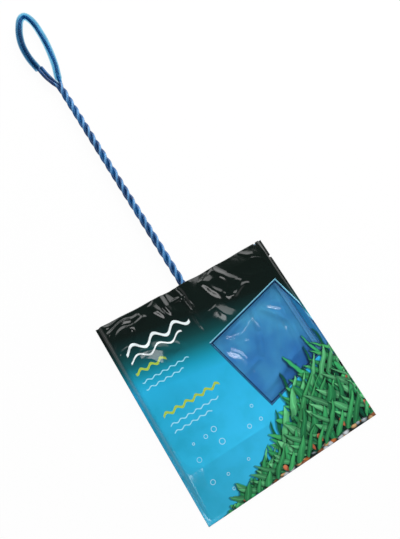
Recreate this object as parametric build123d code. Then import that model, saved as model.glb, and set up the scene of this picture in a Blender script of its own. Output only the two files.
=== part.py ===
from build123d import *
import os
from math import acos, atan2, cos, pi, sin, sqrt

# A hand net for aquarium fish, lying flat with its head in a printed sleeve.
# One coated wire makes the whole net: its two runs and its returning end are twisted
# into a three-strand handle, which opens into a hanging loop at one end and into the
# frame of the net at the other.
# Millimetres, +Z up, the handle along +Y, the origin under the middle of the whole object.

# Wire and twist
wire_diameter = 3.0
strand_gap = 0.15  # between neighbouring strands, in a cut square to the handle
twist_turns = 7.25  # right-handed
handle_length = 305.0  # from the frame's top edge to the loop's tip

# Hanging loop
loop_length = 86.0  # from the end of the twist to the tip
loop_width = 28.3
tube_diameter = 6.6
tube_wall = 0.8
wire_lean = 0.7  # how far the wire lies off the middle of its tube
tail_gap = 0.3  # from the wire's cut end to the tube's end

# Frame
frame_width = 150.0
frame_height = 125.0
corner_radius = 14.0
root_drop = 6.5  # from the end of the twist to the top wire
root_reach = 9.0  # from the handle's axis to where the top wire runs straight

# Tape sewn round the frame
tape_wall = 0.5
tape_clearance = 0.05
tape_reach = 15.0  # from the handle's axis to the tape's ends

# Mesh pouch, laid flat as a pocket under the frame
mesh_wall = 0.35
pocket_room = 0.47
pocket_length = 25.0  # past the bottom wire
seam_width = 1.5
seam_height = 0.8

# Sleeve
film_wall = 0.3
sleeve_room = 0.32  # air between the sleeve and what lies in it
side_room = 1.95  # from the tape to the side seals
end_room = 10.0  # from the pouch's fold to the bottom seal
seal_width = 2.55
head_inset = 10.0  # from the sleeve's mouth to the frame's top edge
ridge_width = 64.0  # where the handle lifts the film
ridge_length = 16.0
ridge_fade = 44.0
notch_width = 2.4
notch_depth = 2.2
notch_inset = 8.4  # from the sleeve's side to the notch in its mouth
notch_drop = 16.4  # from the mouth to the notch in the side

# Clear window in the front film
window_width = 77.5
window_height = 67.9
window_turn = 13.8  # degrees
window_side = 39.4  # the window's middle, to the right of the handle's axis
window_drop = 79.4  # the window's middle, below the sleeve's mouth
window_corner = 1.5
window_margin = 2.5  # least width of film between the window and the bend over the frame
window_gap = 0.02

# Levels
strand_radius = (wire_diameter + strand_gap) / sqrt(3)
twist_radius = strand_radius + wire_diameter / 2
tape_radius = wire_diameter / 2 + tape_clearance + tape_wall
pouch_bottom = film_wall + sleeve_room
pouch_top = pouch_bottom + 2 * mesh_wall + pocket_room
frame_z = pouch_top + tape_clearance + tape_radius
handle_z = max(frame_z, pouch_bottom + twist_radius)
film_inside = frame_z + tape_radius + sleeve_room
ridge_inside = handle_z + twist_radius + sleeve_room

# Places along the handle
sleeve_height = head_inset + frame_height + pocket_length + end_room + seal_width
total_length = sleeve_height + handle_length - head_inset
sleeve_bottom = -total_length / 2
mouth_y = sleeve_bottom + sleeve_height
frame_top = mouth_y - head_inset - wire_diameter / 2
frame_bottom = frame_top - frame_height + wire_diameter
twist_start = frame_top + root_drop
loop_tip = total_length / 2
twist_end = loop_tip - loop_length
twist_pitch = (twist_end - twist_start) / twist_turns
pocket_end = frame_bottom - pocket_length
seal_top = sleeve_bottom + seal_width

# Places across the handle
frame_half = (frame_width - wire_diameter) / 2
inner_half = frame_half + tape_radius + side_room
sleeve_width = 2 * (inner_half + seal_width)

# Turns of the strands at the end of the twist, as shares of a circle from +Z towards +X.
# The loop strand leaves to the right, the return strand to the left, the tail below them.
loop_strand = 1 / 12
tail_strand = loop_strand + 1 / 3
return_strand = loop_strand + 2 / 3
biarcs_per_turn = 4
points_per_arc = 4  # where gaps between paths are measured

# The loop's outline from the right limb round the tip to the left limb: across and along,
# as shares of its half width and reach, and the wire's lean towards the inside of the loop,
# as a share of the full lean.
tube_outline = [
    (0.28, 0.14, -0.3),
    (0.60, 0.29, -1.0),
    (0.88, 0.50, 0.2),
    (1.00, 0.72, 1.0),
    (0.88, 0.92, 1.0),
    (0.42, 1.00, 0.6),
    (-0.36, 0.88, 0.6),
    (-0.88, 0.69, 1.0),
    (-0.98, 0.50, 0.9),
    (-0.80, 0.32, 0.0),
]
# Where the wires part at the end of the twist: across and up from the handle's axis, as shares
# of the strands' radius, and along the loop's reach.
return_outline = [
    (-3.85, 0.0, 0.19),
    (-2.53, 0.5, 0.085),
]
tail_lifts = [-0.55, 0.0, 0.0]
loop_half = (loop_width - tube_diameter) / 2
loop_reach = loop_length - tube_diameter / 2


# Paths of tangent arcs
def biarc(start, start_direction, end, end_direction):
    """Two tangent arcs that leave start and reach end along the given unit directions."""
    chord = end - start
    spread = 2 * (1 - start_direction.dot(end_direction))
    pull = 2 * chord.dot(start_direction + end_direction)
    reach = 2 * chord.dot(chord) / (pull + sqrt(pull**2 + 4 * spread * chord.dot(chord)))
    first_handle = start + start_direction * reach
    second_handle = end - end_direction * reach
    joint = (first_handle + second_handle) / 2
    return [
        TangentArc(start, joint, tangent=start_direction),
        TangentArc(joint, end, tangent=(second_handle - first_handle).normalized()),
    ]


def biarc_path(stations):
    """The biarcs through a list of points and unit directions."""
    arcs = []
    for (start, start_direction), (end, end_direction) in zip(stations, stations[1:]):
        arcs += biarc(start, start_direction, end, end_direction)
    return arcs


def smooth_stations(points, first_direction=None, last_direction=None):
    """Points with directions: each inner one takes the chord of its neighbours."""
    last = len(points) - 1
    stations = []
    for index, point in enumerate(points):
        direction = (points[min(index + 1, last)] - points[max(index - 1, 0)]).normalized()
        if index == 0 and first_direction is not None:
            direction = first_direction
        if index == last and last_direction is not None:
            direction = last_direction
        stations.append((point, direction))
    return stations


def swept(path, radius, bore=0.0):
    """A round rod, or a tube where it has a bore, along a path."""
    start = path[0] @ 0
    section = Plane(start, z_dir=path[0] % 0) * Circle(radius)
    rod = sweep(section, path=Wire(path))
    if bore:
        core = Plane(start, z_dir=path[0] % 0) * Circle(bore)
        rod = rod - sweep(core, path=Wire(path))
    return rod


def least_gap(first, second, radius_sum):
    """The least clear distance between two rods, measured on points along their paths."""
    shares = [index / points_per_arc for index in range(points_per_arc)]
    first_points = [arc @ share for arc in first for share in shares]
    second_points = [arc @ share for arc in second for share in shares]
    return min((a - b).length for a in first_points for b in second_points) - radius_sum


# Twisted handle
def strand_station(strand, y):
    """Point and upward direction of a strand at a height on the handle."""
    turn = 2 * pi * (strand + (y - twist_end) / twist_pitch)
    rise = twist_pitch / (2 * pi)
    point = Vector(strand_radius * sin(turn), y, handle_z + strand_radius * cos(turn))
    direction = Vector(strand_radius * cos(turn), rise, -strand_radius * sin(turn))
    return point, direction.normalized()


def strand_path(strand):
    """A strand from the frame's root to the loop."""
    count = round(biarcs_per_turn * twist_turns)
    step = (twist_end - twist_start) / count
    return biarc_path([strand_station(strand, twist_start + step * index) for index in range(count + 1)])


# Hanging loop
def loop_point(across, along):
    """A point of the loop's outline."""
    return Vector(across * loop_half, twist_end + along * loop_reach, handle_z)


def parting_point(across, lift, along):
    """A point of the wires between the twist and the tube."""
    rise = handle_z + lift * strand_radius
    return Vector(across * strand_radius, twist_end + along * loop_reach, rise)


def inward(direction):
    """Level direction to the left of travel, which is the inside of the loop."""
    return Vector(-direction.Y, direction.X, 0).normalized()


tube_stations = smooth_stations([loop_point(across, along) for across, along, lean in tube_outline])
leaning_points = [
    point + inward(direction) * (lean * wire_lean)
    for (point, direction), (across, along, lean) in zip(tube_stations, tube_outline)
]
return_points = [parting_point(*place) for place in return_outline]
loop_start, loop_start_direction = strand_station(loop_strand, twist_end)
loop_finish, loop_finish_direction = strand_station(return_strand, twist_end)
loop_stations = smooth_stations(
    [loop_start] + leaning_points + return_points + [loop_finish],
    loop_start_direction,
    -loop_finish_direction,
)

# The tail lies against the return strand, on the inside of the loop, and stops short of the tube.
beside_return = list(reversed(loop_stations[len(tube_outline) : -1]))
tail_stations = [strand_station(tail_strand, twist_end)]
for (point, direction), lift in zip(beside_return, tail_lifts):
    beside = point + inward(direction) * (wire_diameter + strand_gap)
    level = Vector(beside.X, beside.Y, handle_z + lift * strand_radius)
    tail_stations.append((level, -direction))
tail_tip, tail_direction = tail_stations[-1]
tail_stations[-1] = (tail_tip - tail_direction * tail_gap, tail_direction)

loop_path = biarc_path(loop_stations)
tail_path = biarc_path(tail_stations)
tube_path = biarc_path(tube_stations)


# Frame, one side at a time
def frame_point(across, y):
    """A point of the frame's wire."""
    return Vector(across, y, frame_z)


def arm_path(strand, side):
    """From a strand's root out along the top wire to the corner."""
    start, upward = strand_station(strand, twist_start)
    outward = Vector(side, 0, 0)
    bend_end = frame_point(side * root_reach, frame_top)
    corner = frame_point(side * (frame_half - corner_radius), frame_top)
    return biarc(start, -upward, bend_end, outward) + [Line(bend_end, corner)]


def side_path(side):
    """Upper corner, straight side and lower corner."""
    top_corner = frame_point(side * (frame_half - corner_radius), frame_top)
    side_top = frame_point(side * frame_half, frame_top - corner_radius)
    side_bottom = frame_point(side * frame_half, frame_bottom + corner_radius)
    bottom_corner = frame_point(side * (frame_half - corner_radius), frame_bottom)
    return [
        TangentArc(top_corner, side_top, tangent=(side, 0, 0)),
        Line(side_top, side_bottom),
        TangentArc(side_bottom, bottom_corner, tangent=(0, -1, 0)),
    ]


def top_tape_path(side):
    """The top wire between the handle's root and the corner."""
    start = frame_point(side * tape_reach, frame_top)
    return [Line(start, frame_point(side * (frame_half - corner_radius), frame_top))]


def bottom_path():
    """The bottom wire between its corners."""
    reach = frame_half - corner_radius
    return [Line(frame_point(-reach, frame_bottom), frame_point(reach, frame_bottom))]


def tape(path):
    """The sewn tape round a length of the frame."""
    return swept(path, tape_radius, wire_diameter / 2 + tape_clearance)


# Mesh pouch
def pouch_slab(inset, low, high, bottom):
    """A round-cornered slab under the frame, from the top wire down to bottom."""
    half = frame_half + mesh_wall / 2 - inset
    top = frame_top + mesh_wall / 2 - inset
    corner = corner_radius + mesh_wall / 2 - inset
    outline = Pos(0, (top + bottom) / 2, low) * RectangleRounded(2 * half, top - bottom, corner)
    return extrude(outline, high - low)


def pouch():
    """Floor, walls up to the tape and the flap that folds back from the pocket's end."""
    hoop_bottom = frame_bottom + mesh_wall / 2
    body = pouch_slab(0, pouch_bottom, pouch_top, pocket_end)
    hollow = pouch_slab(mesh_wall, pouch_bottom + mesh_wall, pouch_top - mesh_wall, pocket_end + mesh_wall)
    mouth = pouch_slab(mesh_wall, pouch_bottom + mesh_wall, pouch_top + mesh_wall, hoop_bottom)
    return body - hollow - mouth


def pouch_seam(side):
    """The sewn edge that runs down one side of the pouch."""
    inner = frame_half + mesh_wall / 2
    length = frame_top - pocket_end - 2 * corner_radius
    middle = (frame_top + pocket_end) / 2
    outward = Align.MIN if side > 0 else Align.MAX
    strip = Rectangle(seam_width, length, align=(outward, Align.CENTER))
    return extrude(Pos(side * inner, middle, pouch_bottom) * strip, seam_height)


# Sleeve
def film_section(wall):
    """The raised part of the front film, over the frame, grown by wall."""
    foot = inner_half + wall
    bend = tape_radius + sleeve_room + wall
    foot_angle = atan2(film_wall - frame_z, foot - frame_half)
    foot_distance = sqrt((foot - frame_half) ** 2 + (film_wall - frame_z) ** 2)
    lift = foot_angle + acos(bend / foot_distance)
    middle = (lift + pi / 2) / 2

    def bend_point(side, angle):
        """A point of the bend round the frame's tape, by its angle above the level."""
        return side * (frame_half + bend * cos(angle)), frame_z + bend * sin(angle)

    outline = [
        Line((-foot, film_wall), (foot, film_wall)),
        Line((foot, film_wall), bend_point(1, lift)),
        ThreePointArc(bend_point(1, lift), bend_point(1, middle), bend_point(1, pi / 2)),
        Line(bend_point(1, pi / 2), bend_point(-1, pi / 2)),
        ThreePointArc(bend_point(-1, pi / 2), bend_point(-1, middle), bend_point(-1, lift)),
        Line(bend_point(-1, lift), (-foot, film_wall)),
    ]
    return make_face(outline)


def mouth_plane(y):
    """The upright plane across the handle, facing the sleeve's bottom."""
    return Plane((0, y, 0), x_dir=(1, 0, 0), z_dir=(0, -1, 0))


def side_prism(points):
    """A prism across the whole sleeve with the given outline along and up."""
    side_plane = Plane((-sleeve_width, 0, 0), x_dir=(0, 1, 0), z_dir=(1, 0, 0))
    face = side_plane * make_face(Polyline(*points, close=True))
    return extrude(face, 2 * sleeve_width)


def raised_film(wall, overrun):
    """The space under the front film, grown by wall and run out through the mouth by overrun."""
    top = film_inside + wall
    ridge = ridge_inside + wall
    slope_start = frame_bottom - tape_radius
    foot_y = seal_top - wall
    rise = (top - film_wall) / (slope_start - foot_y)
    opening = mouth_y + overrun
    body = extrude(mouth_plane(opening) * film_section(wall), opening - foot_y)
    under_slope = side_prism([
        (foot_y, film_wall),
        (opening, film_wall),
        (opening, film_wall + rise * (opening - foot_y)),
    ])
    gable = make_face(Polyline(
        (-ridge_width / 2, top),
        (ridge_width / 2, top),
        (0, ridge),
        close=True,
    ))
    ridge_back = mouth_y - ridge_length
    ridge_end = ridge_back - ridge_fade
    gable_body = extrude(mouth_plane(opening) * gable, opening - ridge_end)
    under_hip = side_prism([
        (ridge_end, top),
        (opening, top),
        (opening, ridge),
        (ridge_back, ridge),
    ])
    return (body & under_slope) + (gable_body & under_hip)


def sleeve_sheet(level):
    """A flat sheet of film of the sleeve's full size."""
    middle = (mouth_y + sleeve_bottom) / 2
    return extrude(Pos(0, middle, level) * Rectangle(sleeve_width, sleeve_height), film_wall)


def notches():
    """The two tear notches beside the sleeve's right-hand top corner."""
    height = 2 * ridge_inside
    edge = sleeve_width / 2
    mouth_x = edge - notch_inset
    side_y = mouth_y - notch_drop
    mouth_notch = Polyline(
        (mouth_x - notch_width / 2, mouth_y),
        (mouth_x, mouth_y - notch_depth),
        (mouth_x + notch_width / 2, mouth_y),
        close=True,
    )
    side_notch = Polyline(
        (edge, side_y - notch_width / 2),
        (edge - notch_depth, side_y),
        (edge, side_y + notch_width / 2),
        close=True,
    )
    return [extrude(make_face(outline), height) for outline in (mouth_notch, side_notch)]


def window_prism(inset):
    """The window's outline as an upright prism: a turned rectangle, kept on the flat of the film."""
    limit = frame_half - window_margin - inset
    turned = Rot(0, 0, window_turn) * RectangleRounded(
        window_width - 2 * inset, window_height - 2 * inset, window_corner
    )
    placed = Pos(window_side, mouth_y - window_drop, frame_z) * turned
    flat = Pos(0, mouth_y - window_drop, frame_z) * Rectangle(2 * limit, 2 * sleeve_height)
    return extrude(placed & flat, 2 * ridge_inside)


def front_film_whole():
    """The front film before its window and notches are cut."""
    outside = raised_film(film_wall, 0) + sleeve_sheet(film_wall)
    return outside - raised_film(0, film_wall)


front_film = front_film_whole()
window = front_film & window_prism(window_gap)
front_film = front_film - window_prism(0)
back_film = sleeve_sheet(0)
for notch in notches():
    front_film = front_film - notch
    back_film = back_film - notch

strand_paths = {
    "handle_strand_loop": strand_path(loop_strand),
    "handle_strand_tail": strand_path(tail_strand),
    "handle_strand_return": strand_path(return_strand),
}
wire_radius = wire_diameter / 2

nodes = {name: swept(path, wire_radius) for name, path in strand_paths.items()}
nodes["loop_wire"] = swept(loop_path, wire_radius)
nodes["wire_tail"] = swept(tail_path, wire_radius)
nodes["loop_tube"] = swept(tube_path, tube_diameter / 2, tube_diameter / 2 - tube_wall)
for name, side, strand in (("left", -1, loop_strand), ("right", 1, tail_strand)):
    nodes["frame_arm_" + name] = swept(arm_path(strand, side), wire_radius)
    nodes["frame_side_" + name] = swept(side_path(side), wire_radius)
    nodes["rim_tape_top_" + name] = tape(top_tape_path(side))
    nodes["rim_tape_" + name] = tape(side_path(side))
    nodes["pouch_seam_" + name] = pouch_seam(side)
nodes["frame_bottom"] = swept(bottom_path(), wire_radius)
nodes["rim_tape_bottom"] = tape(bottom_path())
nodes["mesh_pouch"] = pouch()
nodes["sleeve_front_film"] = front_film
nodes["sleeve_window"] = window
nodes["sleeve_back_film"] = back_film

os.makedirs("parts", exist_ok=True)
for name, shape in nodes.items():
    shape.label = name
    export_step(shape, f"parts/{name}.step")

strand_list = list(strand_paths.values())
print("sleeve %.1f x %.1f, twist pitch %.2f" % (sleeve_width, sleeve_height, twist_pitch))
print("mouth %.2f, frame from %.2f to %.2f" % (mouth_y, frame_top, frame_bottom))
print("twist from %.2f to %.2f" % (twist_start, twist_end))
print("frame z %.2f handle z %.2f film %.2f ridge %.2f" % (frame_z, handle_z, film_inside, ridge_inside))
print("gap between strands %.3f" % least_gap(strand_list[0], strand_list[1], wire_diameter))
print("gap of the tail to the loop wire %.3f" % least_gap(tail_path, loop_path, wire_diameter))
right_limb = tube_path[: len(tube_path) // 2]
tube_and_wire = (wire_diameter + tube_diameter) / 2
print("gap of the tail to the right limb %.3f" % least_gap(tail_path, right_limb, tube_and_wire))
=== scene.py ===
import logging
import math
from collections.abc import Callable
from dataclasses import dataclass
from enum import Enum

import bmesh
import bpy
import numpy as np
from mathutils import Matrix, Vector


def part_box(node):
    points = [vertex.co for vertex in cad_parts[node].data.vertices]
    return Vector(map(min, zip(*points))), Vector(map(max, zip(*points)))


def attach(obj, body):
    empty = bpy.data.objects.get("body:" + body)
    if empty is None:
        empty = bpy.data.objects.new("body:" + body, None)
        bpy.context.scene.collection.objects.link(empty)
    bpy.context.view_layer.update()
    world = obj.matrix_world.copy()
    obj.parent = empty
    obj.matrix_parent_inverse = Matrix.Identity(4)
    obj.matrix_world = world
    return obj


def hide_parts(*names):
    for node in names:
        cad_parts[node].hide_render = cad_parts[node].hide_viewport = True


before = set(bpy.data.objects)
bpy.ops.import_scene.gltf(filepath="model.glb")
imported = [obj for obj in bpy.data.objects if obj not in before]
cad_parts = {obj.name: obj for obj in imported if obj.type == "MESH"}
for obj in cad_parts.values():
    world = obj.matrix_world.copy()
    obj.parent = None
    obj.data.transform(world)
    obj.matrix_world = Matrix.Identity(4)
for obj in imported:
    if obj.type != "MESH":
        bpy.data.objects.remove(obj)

# A hand net for aquarium fish with its head in a printed film sleeve.
# Sizes are millimetres and become metres where a mesh is made. The handle runs along +Y.
MILLIMETRE = 0.001
FULL_TURN = 2 * math.pi
QUARTER_TURN = math.pi / 2
UPWARDS = (0.0, 0.0, 1.0)
SMOOTH_ALL_OVER = 180.0  # an angle in degrees that no edge passes
FINE_DETAIL = 3.0  # of a noise that needs more than its main lumps
NOISE_BAND = (0.3, 0.7)  # where most of a noise lies
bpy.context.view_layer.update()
log = logging.getLogger("hand_net")

Array = np.ndarray
Colour = tuple[float, float, float, float]
Band = tuple[float, float]
Point = tuple[float, float, float]
Rows = tuple[tuple[float, ...], ...]
Socket = bpy.types.NodeSocket
Material = bpy.types.Material
Piece = bpy.types.Object
WHITE: Colour = (1.0, 1.0, 1.0, 1.0)


class Body(Enum):
    """The two bodies that the pieces ride on."""

    NET = "net"
    SLEEVE = "sleeve"


class Slot(Enum):
    """The finishes that the record names."""

    WIRE = "coated_wire"
    TUBE = "clear_blue_vinyl"
    TAPE = "rim_tape"
    MESH = "blue_mesh"
    PRINT = "printed_film"
    CLEAR = "clear_film"


class Side(Enum):
    """The two sides of the handle's axis."""

    LEFT = -1
    RIGHT = 1


class Ray(Enum):
    """The kinds of ray to which the stage shows white."""

    CAMERA = "Is Camera Ray"
    GLOSSY = "Is Glossy Ray"
    TRANSMISSION = "Is Transmission Ray"


def ink(red: int, green: int, blue: int) -> Colour:
    """A colour as a screen names it, in the linear values that a shader takes.

    The screen's curve is straight up to 0.04045, where a value is divided by 12.92. Above
    that it is the value plus 0.055, over 1.055, to the power 2.4.

    Args:
        red, green, blue: Screen values from 0 to 255.

    Returns:
        The linear colour, with full cover.
    """
    screen = np.array([red, green, blue]) / 255
    linear = np.where(screen <= 0.04045, screen / 12.92, ((screen + 0.055) / 1.055) ** 2.4)
    return (*map(float, linear), 1.0)


def operation_of(kind: str, swapped: bool = False) -> Callable[..., "Number"]:
    """A method of Number that makes a Math node.

    Args:
        kind: The node's operation.
        swapped: Whether the number comes last.

    Returns:
        The method.
    """

    def method(number: "Number", *others: "Number | float") -> "Number":
        """The operation's result."""
        return number.graph.math(kind, *((*others, number) if swapped else (number, *others)))

    return method


class Number:
    """A number that changes over a surface, written in sums as plain numbers are."""

    __add__ = operation_of("ADD")
    __sub__ = operation_of("SUBTRACT")
    __rsub__ = operation_of("SUBTRACT", swapped=True)
    __mul__ = operation_of("MULTIPLY")
    __truediv__ = operation_of("DIVIDE")
    __pow__ = operation_of("POWER")
    sine = operation_of("SINE")  # of an angle in radians
    size = operation_of("ABSOLUTE")  # the number without its sign
    floor = operation_of("FLOOR")  # the whole number below
    least = operation_of("MINIMUM")
    most = operation_of("MAXIMUM")

    def __init__(self, graph: "Graph", socket: Socket) -> None:
        """Keeps the graph and the output socket that gives the number."""
        self.graph = graph
        self.socket = socket

    def over(self, low: "Number | float", high: "Number | float") -> "Number":
        """0 below low, 1 above high, and a smooth step between them."""
        return self.graph.step(self, low, high)

    def under(self, low: "Number | float", high: "Number | float") -> "Number":
        """1 below low, 0 above high, and a smooth step between them."""
        return self.graph.step(self, high, low)


Place = tuple[Number, ...]


@dataclass
class Graph:
    """A material's or a world's nodes, with short calls for those that the finishes use."""

    owner: bpy.types.ID
    # A colour mix's sockets, which share their names with those of its other kinds
    MIX_FIRST = 6
    MIX_SECOND = 7
    MIX_RESULT = 2

    @classmethod
    def new(cls, name: str) -> "Graph":
        """An empty graph of a new material.

        Args:
            name: The material's name.

        Returns:
            The graph.
        """
        material = bpy.data.materials.new(name)
        material.use_nodes = True
        material.node_tree.nodes.clear()
        return cls(material)

    def node(self, kind: str, sockets: dict | None = None, **settings: object) -> bpy.types.Node:
        """A new node.

        Args:
            kind: The node's type.
            sockets: What its inputs take, by their names or places.
            settings: Its options.

        Returns:
            The node.
        """
        made = self.owner.node_tree.nodes.new(kind)
        for name, value in settings.items():
            setattr(made, name, value)
        for key, value in (sockets or {}).items():
            self.put(made.inputs[key], value)
        return made

    def put(self, socket: Socket, value: object) -> None:
        """Links an output to a socket, or sets the socket's own value.

        Args:
            socket: The input.
            value: A number or an output to link, or a plain value.
        """
        source = value.socket if isinstance(value, Number) else value
        if isinstance(source, Socket):
            self.owner.node_tree.links.new(source, socket)
        else:
            socket.default_value = source

    def math(self, operation: str, *values: Number | float) -> Number:
        """A Math node's result."""
        made = self.node("ShaderNodeMath", dict(enumerate(values)), operation=operation)
        return Number(self, made.outputs[0])

    def step(self, value: Number, start: Number | float, end: Number | float) -> Number:
        """A smooth step, which may run either way.

        Args:
            value: The number.
            start: Where the step is 0.
            end: Where it is 1.

        Returns:
            The step.
        """
        sockets = {"Value": value, "From Min": start, "From Max": end}
        made = self.node("ShaderNodeMapRange", sockets, interpolation_type="SMOOTHSTEP")
        return Number(self, made.outputs["Result"])

    def mix(self, share: Number | float, first: object, second: object) -> Socket:
        """A colour between two colours, with a share of the second."""
        sockets = {"Factor": share, self.MIX_FIRST: first, self.MIX_SECOND: second}
        return self.node("ShaderNodeMix", sockets, data_type="RGBA").outputs[self.MIX_RESULT]

    def ramp(self, value: Number, stops: list[tuple[float, Colour]], stepped: bool = False) -> Socket:
        """A colour read from stops along 0 to 1.

        Args:
            value: Where to read.
            stops: Each stop's place and colour, from 0 up.
            stepped: Whether a stop's colour holds as far as the next.

        Returns:
            The colour.
        """
        made = self.node("ShaderNodeValToRGB", {"Fac": value})
        made.color_ramp.interpolation = "CONSTANT" if stepped else "LINEAR"
        elements = made.color_ramp.elements
        for place, _ in stops[2:]:
            elements.new(place)
        for element, (place, _) in zip(elements, stops):
            element.position = place
        for element, (_, colour) in zip(elements, stops):
            element.color = colour
        return made.outputs["Color"]

    def vector(self, *parts: Number | float) -> Socket:
        """A vector of two or three numbers."""
        return self.node("ShaderNodeCombineXYZ", dict(enumerate(parts))).outputs[0]

    def parts(self, vector: Socket) -> Place:
        """The three numbers of a vector."""
        made = self.node("ShaderNodeSeparateXYZ", {0: vector})
        return tuple(Number(self, socket) for socket in made.outputs)

    def place(self, origin: Point = (0, 0, 0), turn: float = 0.0) -> Place:
        """Millimetres from a point of the object, along axes turned about +Z.

        Args:
            origin: The point, in millimetres.
            turn: The turn, in radians.

        Returns:
            The three numbers.
        """
        sockets = {
            "Vector": self.node("ShaderNodeTexCoord").outputs["Object"],
            "Location": [value * MILLIMETRE for value in origin],
            "Rotation": (0, 0, turn),
            "Scale": (MILLIMETRE,) * 3,
        }
        return self.parts(self.node("ShaderNodeMapping", sockets, vector_type="TEXTURE").outputs[0])

    def cloth(self) -> Place:
        """Millimetres along and across a piece's own cloth map."""
        return self.parts(self.node("ShaderNodeUVMap", uv_map="cloth").outputs[0])

    def weave(self, pitch: float) -> Number:
        """Crossing rows of threads on a piece's cloth map.

        The size of a sine arches once in each pitch. The greater of the arches along and
        across is the height.

        Args:
            pitch: From one thread to the next.

        Returns:
            The height, from 0 to 1.
        """
        along, across, _ = self.cloth()
        rate = FULL_TURN / (2 * pitch)
        return (along * rate).sine().size().most((across * rate).sine().size())

    def noise(self, place: Place, grain: float, detail: float = 2.0) -> Number:
        """Smooth noise from 0 to 1 with lumps a grain wide, and as many finer noises as the detail."""
        sockets = {"Vector": self.vector(*place), "Scale": 1 / grain, "Detail": detail}
        return Number(self, self.node("ShaderNodeTexNoise", sockets).outputs[0])

    def chance(self, number: Number) -> Place:
        """Three numbers from 0 to 1 that belong to a whole number."""
        made = self.node("ShaderNodeTexWhiteNoise", {"W": number}, noise_dimensions="1D")
        return self.parts(made.outputs["Color"])

    def cells(self, place: Place) -> tuple[Number, Place]:
        """Scattered points, one to each unit square.

        Args:
            place: Where to read them.

        Returns:
            The distance to the nearest point, and the three chances that belong to it.
        """
        sockets = {"Vector": self.vector(*place), "Scale": 1.0}
        made = self.node("ShaderNodeTexVoronoi", sockets, voronoi_dimensions="2D")
        return Number(self, made.outputs["Distance"]), self.parts(made.outputs["Color"])

    def bump(self, height: Number, depth: float) -> Socket:
        """A normal from a height of 0 to 1 that stands for a depth in millimetres."""
        return self.node("ShaderNodeBump", {"Distance": depth * MILLIMETRE, "Height": height}).outputs[0]

    def shader(self, kind: str, sockets: dict[str, object]) -> Socket:
        """A shader with its sockets set or linked."""
        return self.node(kind, sockets).outputs[0]

    def surface(self, **sockets: object) -> Socket:
        """A Principled shader, its sockets named with underscores."""
        named = {name.replace("_", " "): value for name, value in sockets.items()}
        return self.shader("ShaderNodeBsdfPrincipled", named)

    def blend(self, share: Number | float, first: Socket, second: Socket) -> Socket:
        """A mix of two shaders, with a share of the second."""
        return self.node("ShaderNodeMixShader", {0: share, 1: first, 2: second}).outputs[0]

    def seen(self) -> Number:
        """Tells the kinds of ray to which the stage shows white from the others.

        Returns:
            1 for those kinds, and 0 for the others.
        """
        path = self.node("ShaderNodeLightPath")
        camera, glossy, transmission = (Number(self, path.outputs[ray.value]) for ray in Ray)
        return camera.most(glossy).most(transmission)

    def finish(self, surface: Socket) -> Material:
        """Puts a shader on the material's output."""
        self.node("ShaderNodeOutputMaterial", {"Surface": surface})
        return self.owner


# Finishes


@dataclass(frozen=True)
class CoatedWire:
    """Steel wire in a blue vinyl coat, uneven in tone, and paler on the upper outside of the twist: worn
    there, with a painted highlight on the upper side.
    """

    axis_level: float  # height of the handle's axis
    twist_radius: float
    deep: Colour = ink(6, 50, 98)
    bright: Colour = ink(14, 88, 146)
    # The paler coat on the twist's upper outside: wear, and a painted highlight.
    wear_and_highlight: Colour = ink(104, 168, 222)
    tone_grain: float = 11.0
    scuff_grain: float = 2.6
    peel_grain: float = 1.8
    peel_depth: float = 0.006
    pale_depth: float = 0.35  # how far inside the twist's outside the coat starts to pale
    pale_limit: Band = (0.3, 1.0)  # past the outside, where it ends
    # Painted highlight: the coat pales only above the axis, on the side that the light falls on.
    highlight_lift: Band = (0.3, 2.8)  # above the axis, where it starts and is full

    def wear_and_highlight_share(self, place: Place) -> Number:
        """How pale the coat is: most on the upper outside of the twist, none in its grooves, as wear and a
        painted highlight.

        A point's distance from the handle's axis is held against the twist's radius, and its
        height above the axis weighs the result, which paints the highlight on the upper side.

        Args:
            place: Millimetres from the object's origin.

        Returns:
            0 for the plain coat, to 1.
        """
        x, _, z = place
        lift = z - self.axis_level
        out = (x * x + lift * lift) ** 0.5
        crown = out.over(self.twist_radius - self.pale_depth, self.twist_radius)
        limit = out.under(*(self.twist_radius + past for past in self.pale_limit))
        return crown * limit * lift.over(*self.highlight_lift)

    def material(self) -> Material:
        """Two blues by noise, paled on the upper outside of the twist as wear and a painted highlight, with
        a faint orange peel.

        Returns:
            The finish.
        """
        graph = Graph.new("coated_wire")
        place = graph.place()
        tone = graph.noise(place, self.tone_grain, FINE_DETAIL).over(*NOISE_BAND)
        scuff = graph.noise(place, self.scuff_grain, FINE_DETAIL)
        coat = graph.mix(tone, self.deep, self.bright)
        return graph.finish(graph.surface(
            # Painted highlight and wear: the coat pales on the upper outside of the twist.
            Base_Color=graph.mix(self.wear_and_highlight_share(place) * (scuff * 0.6 + 0.4), coat, self.wear_and_highlight),
            Roughness=scuff * 0.08 + 0.3,
            IOR=1.5,
            Specular_IOR_Level=0.3,
            Normal=graph.bump(graph.noise(place, self.peel_grain), self.peel_depth),
        ))


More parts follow.
